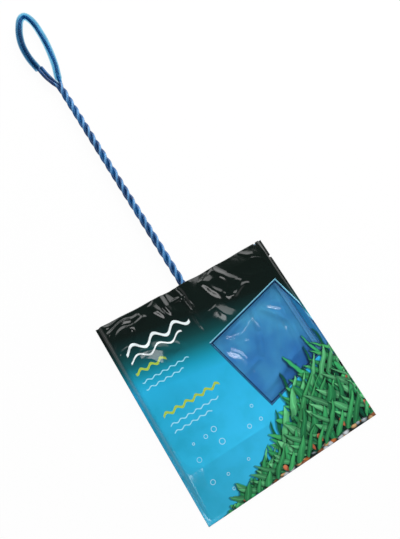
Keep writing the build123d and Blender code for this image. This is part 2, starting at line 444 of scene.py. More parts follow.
@dataclass(frozen=True)
class ClearVinyl:
    """Clear tube coloured blue, with faint clouds in its colour and a painted shade that darkens its left
    limb.
    """

    pale: Colour = ink(212, 242, 252)
    # The deep colour is the painted shade of the left limb.
    deep: Colour = ink(164, 196, 214)
    bulk: Colour = ink(24, 112, 168)
    cloud_grain: float = 12.0
    # Painted shade: the left limb, which lies in the wire's shade, takes the deep colour.
    painted_shade_span: Band = (-9.0, 4.0)  # across the loop, from the deep limb to the pale one

    def material(self) -> Material:
        """Tinted clear film on each face, darker on the left limb as painted shade, with a little milkiness
        and gloss.

        Returns:
            The finish.
        """
        graph = Graph.new("clear_blue_vinyl")
        place = graph.place()
        cloud = graph.noise(place, self.cloud_grain).over(*NOISE_BAND)
        # Painted shade: the colour deepens towards the left limb, with clouds in a fifth of the share.
        shade_and_cloud_share = place[0].under(*self.painted_shade_span) * 0.8 + cloud * 0.2
        clear = graph.shader("ShaderNodeBsdfTransparent", {"Color": graph.mix(shade_and_cloud_share, self.pale, self.deep)})
        gloss = graph.surface(Base_Color=self.bulk, Roughness=cloud * 0.06 + 0.28, IOR=1.45)
        return graph.finish(graph.blend(cloud * 0.04 + 0.08, clear, gloss))


@dataclass(frozen=True)
class WovenTape:
    """Cotton tape in a plain weave, dyed blue."""

    hollow: Colour = ink(44, 122, 192)
    crown: Colour = ink(108, 192, 240)
    thread: float = 0.42
    depth: float = 0.08
    fade_grain: float = 14.0

    def material(self) -> Material:
        """Threads that are lighter on their crowns and darker between them, as painted highlight and painted
        shade, faded in patches.

        Returns:
            The finish.
        """
        graph = Graph.new("rim_tape")
        weave = graph.weave(self.thread)
        fade = graph.noise(graph.place(), self.fade_grain)
        return graph.finish(graph.surface(
            # Painted shade in the weave's hollows and painted highlight on its crowns.
            Base_Color=graph.mix(weave * (fade * 0.6 + 0.6), self.hollow, self.crown),
            Roughness=0.85,
            Sheen_Weight=0.35,
            Sheen_Roughness=0.4,
            Normal=graph.bump(weave, self.depth),
        ))


@dataclass(frozen=True)
class Thread:
    """Spun sewing thread, lighter than the tape."""

    hollow: Colour = ink(40, 96, 160)
    crown: Colour = ink(120, 174, 220)
    ply: float = 0.5
    depth: float = 0.05

    def material(self) -> Material:
        """Plies that slant across the thread: a sine of the sum of the three coordinates, painted lighter on
        their crowns and darker in their grooves as highlight and shade.

        Returns:
            The finish.
        """
        graph = Graph.new("sewing_thread")
        x, y, z = graph.place()
        ply = ((x + y + z) * (FULL_TURN / self.ply)).sine() * 0.5 + 0.5
        return graph.finish(graph.surface(
            # Painted shade in the grooves between plies and painted highlight on their crowns.
            Base_Color=graph.mix(ply, self.hollow, self.crown),
            Roughness=0.6,
            Sheen_Weight=0.3,
            Normal=graph.bump(ply, self.depth),
        ))


@dataclass(frozen=True)
class FineMesh:
    """Soft knotless netting with small square holes."""

    dark: Colour = ink(19, 104, 190)
    light: Colour = ink(78, 177, 223)
    pitch: float = 0.9
    thread_share: float = 0.56
    thread_edge: float = 0.06  # half the height over which a thread's edge fades
    depth: float = 0.12
    cloud_grain: float = 22.0
    # Painted shade: the cloth is lightest at the rim's top and darkest this far along.
    shade_length: float = 130.0  # from the rim's top to where the cloth is darkest

    def material(self) -> Material:
        """Threads where the weave is high and holes where it is low, clouded, and lighter near the rim's top
        and darker further in as painted shade.

        Returns:
            The finish.
        """
        graph = Graph.new("blue_mesh")
        ridge = graph.weave(self.pitch)
        edge = math.cos(self.thread_share * QUARTER_TURN)
        thread = ridge.over(edge - self.thread_edge, edge + self.thread_edge)
        cloud = graph.noise(graph.place(), self.cloud_grain, FINE_DETAIL).over(*NOISE_BAND)
        # Painted shade: lighter near the rim's top, darker further along the cloth.
        fade = graph.cloth()[1].under(0, self.shade_length) * 0.6
        cloth = graph.surface(
            Base_Color=graph.mix(cloud * 0.5 + fade, self.dark, self.light),
            Roughness=0.7,
            Specular_IOR_Level=0.25,
            Normal=graph.bump(ridge, self.depth),
        )
        hole = graph.shader("ShaderNodeBsdfTransparent", {"Color": WHITE})
        return graph.finish(graph.blend(thread, hole, cloth))


@dataclass(frozen=True)
class BladeLayer:
    """One row of ribbon leaves that stand on the sleeve's bottom edge."""

    spacing: float
    half_width: float
    height: float
    gain: float  # how much taller the leaves are on the right
    lean: float
    sway: float
    wavelength: float
    belly: float  # 0 is a ribbon, and more is a leaf that widens from its foot
    dark: Colour
    light: Colour
    seed: float
    base: float = 0.0  # how far up the thicket the leaves start
    share: float = 1.0  # how many of the leaves are there
    tip: float = 0.5
    growth: Band = (-45.0, 72.0)  # where the height starts and ends its rise
    bare: Band = (-66.0, -24.0)  # where the row starts to grow at all
    thicket: float = 62.0
    soft_edge: float = 0.25
    shade_width: float = 1.8
    veins: float = 17.0
    # What a chance adds to a leaf's height, width and tone, and the least that each is
    TALL = (0.65, 0.5)
    WIDE = (0.5, 0.75)
    TONE = (0.9, 0.5)
    STRAY = 0.35  # share of the spacing by which leaves may stand off their cells' middles
    FOOT = (0.001, 0.02)  # shares of the height where a leaf starts
    TOP = (0.985, 1.0)  # and where it ends
    LEAST_REACH = 0.01
    LEAST_HALF = 0.02
    RIB = (0.04, 0.17)  # shares of the half width where the middle rib fades
    CAST_SHIFT = 0.6

    def draw(self, graph: Graph, x: Number, up: Number, drift: Number) -> tuple[Socket, Number, Number]:
        """Works out this row at each point of the film.

        The row is bent by a lean and a sine, then cut into cells one leaf wide. Each cell's
        chances set its leaf's height, width and tone. A leaf's half width is a power of the
        share of its height below, times a power of the share above.

        Args:
            graph: The film's graph.
            x: Millimetres right of the handle's axis.
            up: Millimetres above the bottom edge.
            drift: Millimetres that the row wanders sideways.

        Returns:
            The leaves' colour, their cover and the shade that they throw on what is behind.
        """
        bend = (up * (FULL_TURN / self.wavelength) + self.seed).sine() * self.sway
        across = x - up * self.lean - bend + drift
        cell = (across / self.spacing).floor()
        tall, wide, tone = graph.chance(cell + self.seed)
        width = wide * self.WIDE[0] + self.WIDE[1]
        root = (cell + 0.5) * self.spacing
        rise = x.over(*self.growth)
        tallest = rise * self.gain + root.over(*self.bare) * self.height
        reach = tallest * (tall * self.TALL[0] + self.TALL[1]) + self.LEAST_REACH
        foot = rise * (self.base * self.thicket) * width
        along = ((up - foot) / reach).least(1.0).most(self.FOOT[0])
        half = along**self.belly * (1.0 - along) ** self.tip * width * self.half_width
        offset = across - root - (tone - 0.5) * (self.spacing * self.STRAY)
        side = offset / half.most(self.LEAST_HALF)
        there = tall.under(self.share, self.share + 0.01)
        inside = along.under(*self.TOP) * along.over(*self.FOOT) * there
        cover = offset.size().under(half - self.soft_edge, half) * inside
        light = tone * self.TONE[0] + self.TONE[1]
        shade = (1.0 - side * side * 0.5) * (along * 0.6 + 0.4) * light
        veins = (side * self.veins).sine() * 0.06
        rib = side.size().under(*self.RIB) * 0.3
        colour = graph.mix(shade + veins + rib, self.dark, self.light)
        cast = (offset + self.CAST_SHIFT).size().under(half, half + self.shade_width)
        return colour, cover, cast * inside * 0.6


def ribbon_row(spacing: float, lean: float, light: Colour, seed: float) -> BladeLayer:
    """A row of tall ribbons at the back."""
    return BladeLayer(
        spacing=spacing, half_width=3.2, height=14, gain=70, lean=lean, sway=2.6, wavelength=86,
        belly=0.1, dark=ink(6, 44, 36), light=light, seed=seed,
    )


def leaf_row(base: float, lean: float, light: Colour, seed: float) -> BladeLayer:
    """A row of broad leaves that starts a share of the way up the thicket."""
    return BladeLayer(
        spacing=9.4, half_width=8.0, height=17, gain=10, lean=lean, sway=1.6, wavelength=40,
        belly=0.5, dark=ink(8, 66, 44), light=light, seed=seed, base=base, tip=1.0,
    )


def accent_row(base: float, lean: float, seed: float) -> BladeLayer:
    """A row of a few red leaves."""
    return BladeLayer(
        spacing=9.8, half_width=4.4, height=9, gain=6, lean=lean, sway=1.2, wavelength=40,
        belly=0.6, dark=ink(128, 52, 36), light=ink(222, 128, 90), seed=seed, base=base, share=0.2,
    )


def back_rows() -> tuple[BladeLayer, ...]:
    """The tall ribbons and the leaves behind the pebbles, from the back to the front."""
    return (
        ribbon_row(6.2, 0.10, ink(20, 104, 70), 3.0),
        ribbon_row(12.4, -0.22, ink(58, 176, 108), 11.0),
        leaf_row(0.86, -0.95, ink(70, 184, 106), 23.0),
        leaf_row(0.74, 0.70, ink(104, 206, 136), 29.0),
        leaf_row(0.62, -0.35, ink(58, 172, 102), 37.0),
        accent_row(0.55, 0.5, 41.0),
        leaf_row(0.50, 1.00, ink(84, 196, 118), 43.0),
        leaf_row(0.38, -0.75, ink(118, 212, 146), 47.0),
    )


def front_rows() -> tuple[BladeLayer, ...]:
    """The leaves before the pebbles, from the back to the front."""
    return (
        leaf_row(0.26, 0.40, ink(66, 180, 108), 53.0),
        leaf_row(0.15, -1.00, ink(104, 206, 136), 59.0),
        accent_row(0.12, -0.4, 61.0),
        leaf_row(0.05, 0.75, ink(76, 190, 114), 67.0),
    )


@dataclass(frozen=True)
class WaveLine:
    """A printed line that rises and falls."""

    start: float
    end: float
    depth: float  # below the sleeve's mouth
    width: float
    rise: float
    wavelength: float
    colour: Colour
    soft_edge: float = 0.12

    def cover(self, x: Number, depth: Number) -> Number:
        """How much of the line covers a point: all of it within half its width of a sine.

        Args:
            x: Millimetres right of the handle's axis.
            depth: Millimetres below the mouth.

        Returns:
            The cover, from 0 to 1.
        """
        middle = (x * (FULL_TURN / self.wavelength)).sine() * self.rise + self.depth
        half = self.width / 2
        line = (depth - middle).size().under(half - self.soft_edge, half + self.soft_edge)
        return line * x.over(self.start, self.start + 1) * x.under(self.end, self.end + 1)


def wave_lines() -> tuple[WaveLine, ...]:
    """The wave lines on the sleeve's left, from the top down."""
    white, lime, pale = ink(236, 246, 248), ink(168, 196, 74), ink(150, 218, 240)
    # Start, end, depth, width, rise, wavelength and colour of each
    return (
        WaveLine(-70, -12, 29, 2.6, 3.2, 19.0, white),
        WaveLine(-70, -22, 37, 1.5, 2.4, 19.0, white),
        WaveLine(-71, -44, 47, 2.2, 1.3, 9.0, lime),
        WaveLine(-70, -28, 56, 0.9, 0.7, 7.0, pale),
        WaveLine(-70, -36, 62, 0.9, 0.7, 7.0, pale),
        WaveLine(-69, -18, 86, 2.2, 1.3, 9.0, lime),
        WaveLine(-68, -24, 95, 0.9, 0.7, 7.0, pale),
        WaveLine(-68, -34, 101, 0.9, 0.7, 7.0, pale),
    )


@dataclass(frozen=True)
class Print:
    """The sleeve's print: night water that turns bright, bubbles, waves, leaves and pebbles."""

    mouth: float
    bottom: float
    window_middle: tuple[float, float]
    window_half: tuple[float, float]
    window_turn: float
    tilt: float = 0.17  # how much lower the bright water starts for each millimetre to the right
    ramp_length: float = 180.0
    shallows: Colour = ink(20, 144, 172)
    mottle_grain: float = 17.0
    mottle_band: Band = (0.35, 0.75)
    green_side: Band = (-78.0, -14.0)  # from where the water is greenest to where it is blue
    green_depth: Band = (56.0, 84.0)
    bubble: Colour = ink(190, 232, 246)
    bubble_cell: float = 11.0
    bubble_line: Band = (0.12, 0.34)
    bubble_chance: Band = (0.55, 0.57)
    # What a chance adds to a bubble's place in its cell and to its radius, and the least of each
    bubble_stray: Band = (0.3, 0.35)
    bubble_radius: Band = (1.6, 0.7)
    # Where bubbles may be: beside the wave lines or below them, and between the two sides
    beside_lines: Band = (-9.0, -8.9)
    beside_depth: Band = (76.0, 76.1)
    below_lines: Band = (107.0, 107.1)
    bubble_left: Band = (-71.0, -70.9)
    bubble_right: Band = (2.0, 2.1)
    border: float = 1.0
    line: Colour = ink(10, 48, 88)
    strip: Colour = ink(34, 110, 160)
    edge_dark: Colour = ink(18, 62, 104)
    edge_light: Colour = ink(132, 206, 232)
    drift_grain: float = 22.0
    drift: float = 9.0
    thicket_side: Band = (-50.0, 70.0)
    thicket_height: float = 62.0
    thicket: Colour = ink(7, 30, 22)
    leaf_shade: Colour = ink(5, 24, 18)
    stone_width: float = 5.4
    stone_height: float = 4.2
    stone_gap: Colour = ink(14, 34, 30)
    stone_side: Band = (-50.0, 0.0)
    bed_grain: float = 18.0
    bed_height: float = 9.0
    bed_drop: float = 1.5
    ROW_STRIDE = 37.0  # keeps the bubble cells' numbers apart
    NEAREST = (0, 0.1)  # a step that tells one side of a line from the other
    # The water's colours by depth below the mouth
    WATER = (
        (0, ink(8, 20, 16)), (28, ink(8, 23, 20)), (37, ink(10, 42, 42)), (45, ink(12, 64, 66)),
        (53, ink(14, 92, 100)), (60, ink(18, 128, 148)), (67, ink(24, 154, 188)),
        (76, ink(40, 176, 222)), (110, ink(50, 186, 234)), (150, ink(56, 192, 240)),
        (180, ink(64, 196, 240)),
    )
    # The stones' colours by chance
    STONES = (
        (0.0, ink(196, 112, 58)), (0.3, ink(214, 220, 226)), (0.5, ink(150, 90, 58)),
        (0.64, ink(168, 178, 186)), (0.82, ink(226, 180, 128)),
    )

    def water(self, graph: Graph, x: Number, depth: Number) -> Socket:
        """The ground colour by depth below the mouth, mottled and greener towards the left edge.

        Args:
            graph: The film's graph.
            x: Millimetres right of the handle's axis.
            depth: Millimetres below the mouth.

        Returns:
            The colour.
        """
        share = (depth - x * self.tilt) / self.ramp_length
        water = graph.ramp(share, [(place / self.ramp_length, colour) for place, colour in self.WATER])
        mottle = graph.noise((x, depth), self.mottle_grain, FINE_DETAIL).over(*self.mottle_band)
        green = (x.under(*self.green_side) * 0.45 + mottle * 0.22) * depth.over(*self.green_depth)
        return graph.mix(green, water, self.shallows)

    def bubbles(self, graph: Graph, x: Number, depth: Number) -> Number:
        """Bubbles beside and below the wave lines.

        A bubble is a ring inside a square cell. The cell's chances set whether it is there, its
        radius and how far it sits from the cell's middle, so no cell cuts its ring. The ring's
        middle tells whether it lies in open water.

        Args:
            graph: The film's graph.
            x: Millimetres right of the handle's axis.
            depth: Millimetres below the mouth.

        Returns:
            How much the rings cover a point.
        """
        cell = self.bubble_cell
        column, row = (x / cell).floor(), (depth / cell).floor()
        number = column + row * self.ROW_STRIDE
        there, size, _ = graph.chance(number)
        aside, below, _ = graph.chance(number + 0.5)
        stray, least = self.bubble_stray
        middle_x = (column + aside * stray + least) * cell
        middle_depth = (row + below * stray + least) * cell
        across, down = x - middle_x, depth - middle_depth
        near = (across * across + down * down) ** 0.5
        radius = size * self.bubble_radius[0] + self.bubble_radius[1]
        ring_line = (near - radius).size().under(*self.bubble_line) * there.over(*self.bubble_chance)
        beside = middle_x.over(*self.beside_lines) * middle_depth.over(*self.beside_depth)
        open_water = middle_depth.over(*self.below_lines).most(beside)
        return ring_line * open_water * middle_x.over(*self.bubble_left) * middle_x.under(*self.bubble_right)

    def decor(self, graph: Graph, ground: Socket, x: Number, depth: Number) -> Socket:
        """Bubbles and wave lines over the water.

        Args:
            graph: The film's graph.
            ground: The water's colour.
            x: Millimetres right of the handle's axis.
            depth: Millimetres below the mouth.

        Returns:
            The colour with the bubbles and lines.
        """
        ground = graph.mix(self.bubbles(graph, x, depth) * 0.75, ground, self.bubble)
        for line in wave_lines():
            ground = graph.mix(line.cover(x, depth), ground, line.colour)
        return ground

    def edges(self, graph: Graph) -> tuple[Number, Number, Number]:
        """The lines round the window.

        A point lies past the window by the greater of what it lies past its ends and its sides.

        Args:
            graph: The film's graph.

        Returns:
            How far a point lies past the window's edge, how much the dark line inside the edge
            covers it, and whether the nearest edge is one of the two light ones.
        """
        along, across, _ = graph.place((*self.window_middle, 0), self.window_turn)
        past_end = along.size() - self.window_half[0]
        past_side = across.size() - self.window_half[1]
        past = past_end.most(past_side)
        inner = past.over(-self.border * 1.5, -self.border * 1.3) * past.under(-0.5, -0.3)
        beside = (past_side - past_end).over(*self.NEAREST)
        upper, right = across.over(*self.NEAREST), along.over(*self.NEAREST)
        light = (upper * beside).most(right * (1.0 - beside))
        return past, inner * (light * 0.4 + 0.5), light

    def frame(self, graph: Graph, ground: Socket) -> Socket:
        """The line round the window, and the window's colour where the film is printed inside it.

        Args:
            graph: The film's graph.
            ground: The colour so far.

        Returns:
            The colour with the lines.
        """
        past, inner, light = self.edges(graph)
        line = past.under(self.border - 0.2, self.border)
        ground = graph.mix(line * 0.9, ground, graph.mix(light, self.edge_dark, self.edge_light))
        ground = graph.mix(past.under(-0.3, 0.0), ground, self.strip)
        return graph.mix(inner, ground, self.line)

    def leaves(self, graph: Graph, ground: Socket, x: Number, up: Number) -> tuple[Socket, Number]:
        """The dark thicket, the rows of leaves and the pebbles.

        Args:
            graph: The film's graph.
            ground: The colour so far.
            x: Millimetres right of the handle's axis.
            up: Millimetres above the bottom edge.

        Returns:
            The colour with all of them, and how much they cover.
        """
        drift = (graph.noise((x, up), self.drift_grain) - 0.5) * self.drift
        crest = x.over(*self.thicket_side) * self.thicket_height + drift * 2.2 - 2.0
        cover = up.under(crest - 3, crest + 1)
        ground = graph.mix(cover, ground, self.thicket)
        behind = back_rows()
        for number, row in enumerate(behind + front_rows()):
            if number == len(behind):
                ground = self.pebbles(graph, ground, x, up)
            colour, leaf, cast = row.draw(graph, x, up, drift)
            ground = graph.mix(leaf, graph.mix(cast, ground, self.leaf_shade), colour)
            cover = cover.most(leaf).most(cast * 0.6)
        return ground, cover

    def pebbles(self, graph: Graph, ground: Socket, x: Number, up: Number) -> Socket:
        """A bed of round stones along the bottom, shaded by distance from each stone's middle.

        Args:
            graph: The film's graph.
            ground: The colour so far.
            x: Millimetres right of the handle's axis.
            up: Millimetres above the bottom edge.

        Returns:
            The colour with the stones.
        """
        near, (kind, tone, _) = graph.cells((x / self.stone_width, up / self.stone_height))
        hills = graph.noise((x, x), self.bed_grain) * x.over(*self.stone_side)
        crest = hills * self.bed_height - self.bed_drop
        shade = near.under(0.15, 0.72) * (tone * 0.35 + 0.7)
        stone = graph.mix(shade, self.stone_gap, graph.ramp(kind, list(self.STONES), stepped=True))
        return graph.mix(up.under(crest - 0.5, crest + 0.5), ground, stone)


@dataclass(frozen=True)
class PrintedFilm:
    """Glossy film printed on its underside."""

    artwork: Print
    mirror: float = 0.028  # share of the light that a face of clear film mirrors head on
    grazing: float = 5.0  # power of the turn from the eye by which that share grows
    roughness: float = 0.09
    ripple_grain: float = 3.2
    ripple_depth: float = 0.03
    clear: Colour = ink(250, 253, 254)
    backing: Colour = ink(120, 177, 218)
    backing_grain: float = 9.0

    def gloss(self, graph: Graph, colour: Socket, place: Place) -> Socket:
        """The film over a printed colour.

        Args:
            graph: The film's graph.
            colour: The print.
            place: Millimetres from the object's origin.

        Returns:
            The shader.
        """
        return graph.surface(
            Base_Color=colour,
            Roughness=graph.noise(place, self.ripple_grain * 4) * 0.06 + self.roughness,
            IOR=1.37,
            Normal=graph.bump(graph.noise(place, self.ripple_grain), self.ripple_depth),
        )

    def front(self) -> Material:
        """The front's whole print: water, decor, window lines and leaves, one over the other.

        Returns:
            The finish.
        """
        graph = Graph.new("printed_film")
        place = graph.place()
        x, y, _ = place
        depth = self.artwork.mouth - y
        ground = self.artwork.water(graph, x, depth)
        ground = self.artwork.decor(graph, ground, x, depth)
        ground = self.artwork.frame(graph, ground)
        ground, _ = self.artwork.leaves(graph, ground, x, y - self.artwork.bottom)
        return graph.finish(self.gloss(graph, ground, place))

    def back(self) -> Material:
        """The back's print, which is the water alone.

        Returns:
            The finish.
        """
        graph = Graph.new("printed_film_back")
        place = graph.place()
        water = self.artwork.water(graph, place[0], self.artwork.mouth - place[1])
        return graph.finish(self.gloss(graph, water, place))

    def inside(self) -> Material:
        """The pale ink behind the print, with the print showing faintly through.

        Returns:
            The finish.
        """
        graph = Graph.new("printed_film_inside")
        place = graph.place()
        water = self.artwork.water(graph, place[0], self.artwork.mouth - place[1])
        share = graph.noise(place, self.backing_grain) * 0.1 + 0.4
        faint = graph.mix(share, self.backing, water)
        return graph.finish(graph.surface(Base_Color=faint, Roughness=0.4, Specular_IOR_Level=0.25))

    def window(self) -> Material:
        """The clear field: bare film, and print where leaves stand before it.

        Each face of the film mirrors a small share of the light. The share grows with the fifth
        power of how far the face turns from the eye, alike on both faces.

        Returns:
            The finish.
        """
        graph = Graph.new("clear_film")
        place = graph.place()
        x, y, _ = place
        _, inner, _ = self.artwork.edges(graph)
        inked, cover = self.artwork.leaves(graph, self.artwork.line, x, y - self.artwork.bottom)
        normal = graph.bump(graph.noise(place, self.ripple_grain), self.ripple_depth)
        shine = graph.shader("ShaderNodeBsdfGlossy", {"Roughness": 0.12, "Normal": normal})
        clear = graph.shader("ShaderNodeBsdfTransparent", {"Color": self.clear})
        turned = Number(graph, graph.node("ShaderNodeLayerWeight", {"Normal": normal}).outputs["Facing"])
        film = graph.blend(turned**self.grazing * (1 - self.mirror) + self.mirror, clear, shine)
        return graph.finish(graph.blend(cover.most(inner), film, self.gloss(graph, inked, place)))


# Meshes


def grid_quads(rows: int, columns: int, wrap_rows: bool = False, wrap_columns: bool = False) -> Array:
    """The faces between neighbouring points of a grid, numbered row by row.

    Args:
        rows, columns: The grid's size.
        wrap_rows, wrap_columns: Whether the last row or column meets the first.

    Returns:
        Four corner numbers for each face. A face looks along row direction cross column direction.
    """
    row, column = np.meshgrid(
        np.arange(rows if wrap_rows else rows - 1),
        np.arange(columns if wrap_columns else columns - 1),
        indexing="ij",
    )
    next_row = (row + 1) % rows
    next_column = (column + 1) % columns
    around = (
        row * columns + column,
        next_row * columns + column,
        next_row * columns + next_column,
        row * columns + next_column,
    )
    return np.stack(around, axis=-1).reshape(-1, 4)


def mesh_piece(
    name: str,
    points: Array,
    faces: list[Array],
    finishes: list[Material],
    cloth: Array | None = None,
    sharp: float = 40.0,
) -> Piece:
    """A mesh object at the origin.

    Args:
        name: The piece's name.
        points: Its points in millimetres.
        faces: Arrays of corner numbers, each with faces of one size.
        finishes: Its materials.
        cloth: Millimetres along and across the cloth at each point, if it has a cloth map.
        sharp: The angle in degrees past which an edge isn't smoothed.

    Returns:
        The object.
    """
    mesh = bpy.data.meshes.new(name)
    around = [face for group in faces for face in group.tolist()]
    mesh.from_pydata((points.reshape(-1, 3) * MILLIMETRE).tolist(), [], around)
    mesh.shade_smooth()
    mesh.set_sharp_from_angle(angle=math.radians(sharp))
    if cloth is not None:
        layer = mesh.uv_layers.new(name="cloth")
        index = np.empty(len(mesh.loops), np.int32)
        mesh.loops.foreach_get("vertex_index", index)
        layer.data.foreach_set("uv", cloth.reshape(-1, 2)[index].astype(np.float32).ravel())
    for finish in finishes:
        mesh.materials.append(finish)
    piece = bpy.data.objects.new(name, mesh)
    bpy.context.scene.collection.objects.link(piece)
    return piece


def settle(piece: Piece, body: Body, slot: Slot, *nodes: str) -> None:
    """Puts a piece on its body, in place of solids where it stands for any.

    Args:
        piece: The piece.
        body: What it rides on.
        slot: Its finish in the record; not used.
        nodes: The solids that it replaces.
    """
    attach(piece, body.value)
    if nodes:
        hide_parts(*nodes)
    log.info("%s rides on %s, %d faces", piece.name, body.value, len(piece.data.polygons))


def unit(vectors: Array) -> Array:
    """Vectors at length one."""
    return vectors / np.linalg.norm(vectors, axis=-1, keepdims=True)


def running_length(points: Array) -> Array:
    """The length along a row of points, from 0 at the first: the sum of the steps so far."""
    return np.concatenate([[0], np.cumsum(np.linalg.norm(np.diff(points, axis=0), axis=1))])


def chords(points: Array) -> Array:
    """Directions along a row of points: each takes the chord of its neighbours.

    Args:
        points: The row.

    Returns:
        A direction of length one for each point.
    """
    before = np.concatenate([points[:1], points[:-1]])
    after = np.concatenate([points[1:], points[-1:]])
    return unit(after - before)


def hermite(points: Array, directions: Array, steps: int) -> Array:
    """A smooth line through points along directions.

    Each span is a cubic: its ends weigh (1 + 2t)(1 - t)^2 and t^2(3 - 2t), and their
    directions, times the span's chord, weigh t(1 - t)^2 and -t^2(1 - t).

    Args:
        points, directions: The stations.
        steps: Points to each span.

    Returns:
        The line's points.
    """
    t = np.linspace(0, 1, steps, endpoint=False)[None, :, None]
    start, end = points[:-1, None], points[1:, None]
    chord = np.linalg.norm(end - start, axis=-1, keepdims=True)
    leave, reach = directions[:-1, None] * chord, directions[1:, None] * chord
    line = (1 + 2 * t) * (1 - t) ** 2 * start + t**2 * (3 - 2 * t) * end
    line = line + t * (1 - t) ** 2 * leave - t**2 * (1 - t) * reach
    return np.concatenate([line.reshape(-1, 3), points[-1:]])


def carried(path: Array, profile: Array) -> Array:
    """A profile carried along a path, upright.

    Each point is the path's, plus the profile's first number to the right of travel, plus
    its second number upwards.

    Args:
        path: The path's points.
        profile: Two numbers for each point of the profile, the same all along or one set a point.

    Returns:
        A grid of points, path by profile.
    """
    travel = chords(path)
    right = unit(np.cross(travel, UPWARDS))
    up = np.cross(right, travel)
    return path[:, None] + right[:, None] * profile[..., :1] + up[:, None] * profile[..., 1:]


def ring(radius: float, count: int) -> Array:
    """Points of a circle, counter-clockwise."""
    angle = np.linspace(0, FULL_TURN, count, endpoint=False)
    return radius * np.stack([np.cos(angle), np.sin(angle)], axis=-1)


def rod_faces(rows: int, columns: int) -> list[Array]:
    """Faces of a carried closed profile, with a cap on each end.

    Args:
        rows, columns: The grid's size, path by profile.

    Returns:
        The sides, the first cap and the last.
    """
    first = np.arange(columns)[None, :]
    last = (rows - 1) * columns + np.arange(columns)[::-1][None, :]
    return [grid_quads(rows, columns, wrap_columns=True), first, last]


def node_box(node: str) -> tuple[Array, Array]:
    """A solid's lowest and highest corners in millimetres."""
    low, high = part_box(node)
    return np.array(low) / MILLIMETRE, np.array(high) / MILLIMETRE


@dataclass(frozen=True)
class Waves:
    """Smooth noise: a sum of sines with seeded directions, wavelengths and phases."""

    seed: int
    shortest: float
    longest: float
    count: int

    def at(self, x: Array, y: Array) -> Array:
        """The noise's height.

        Args:
            x, y: Where it is wanted.

        Returns:
            Heights from about -1 to 1.
        """
        draw = np.random.default_rng(self.seed)
        angle = draw.uniform(0, FULL_TURN, self.count)
        rate = FULL_TURN / draw.uniform(self.shortest, self.longest, self.count)
        phase = draw.uniform(0, FULL_TURN, self.count)
        total = np.zeros_like(x)
        for a, k, p in zip(angle, rate, phase):
            total = total + np.sin(k * (x * np.cos(a) + y * np.sin(a)) + p)
        return total / math.sqrt(self.count)


def crease(x: Array, depth: Array, fold: tuple[float, ...], soft: bool = False) -> Array:
    """The rise of one crease between two points.

    A sharp crease falls straight from its line to nothing at its half width, with its crest
    slightly rounded. A soft one falls as a bell. Both die away towards the line's ends.

    Args:
        x, depth: Where the rise is wanted.
        fold: Across and depth of the line's start and of its end, half width and height.
        soft: Whether it is a bell.

    Returns:
        The rise at each point.
    """
    x0, d0, x1, d1, width, height = fold
    run = np.subtract((x1, d1), (x0, d0))
    share = ((x - x0) * run[0] + (depth - d0) * run[1]) / (run @ run)
    held = np.clip(share, 0, 1)
    away = np.hypot(x - x0 - held * run[0], depth - d0 - held * run[1]) / width
    fade = np.sqrt(np.clip(4 * held * (1 - held), 0, 1))
    shape = np.exp(-(away**2)) if soft else np.maximum(1 - np.sqrt(away**2 + 0.006), 0)
    return height * fade * shape


# Twisted wire


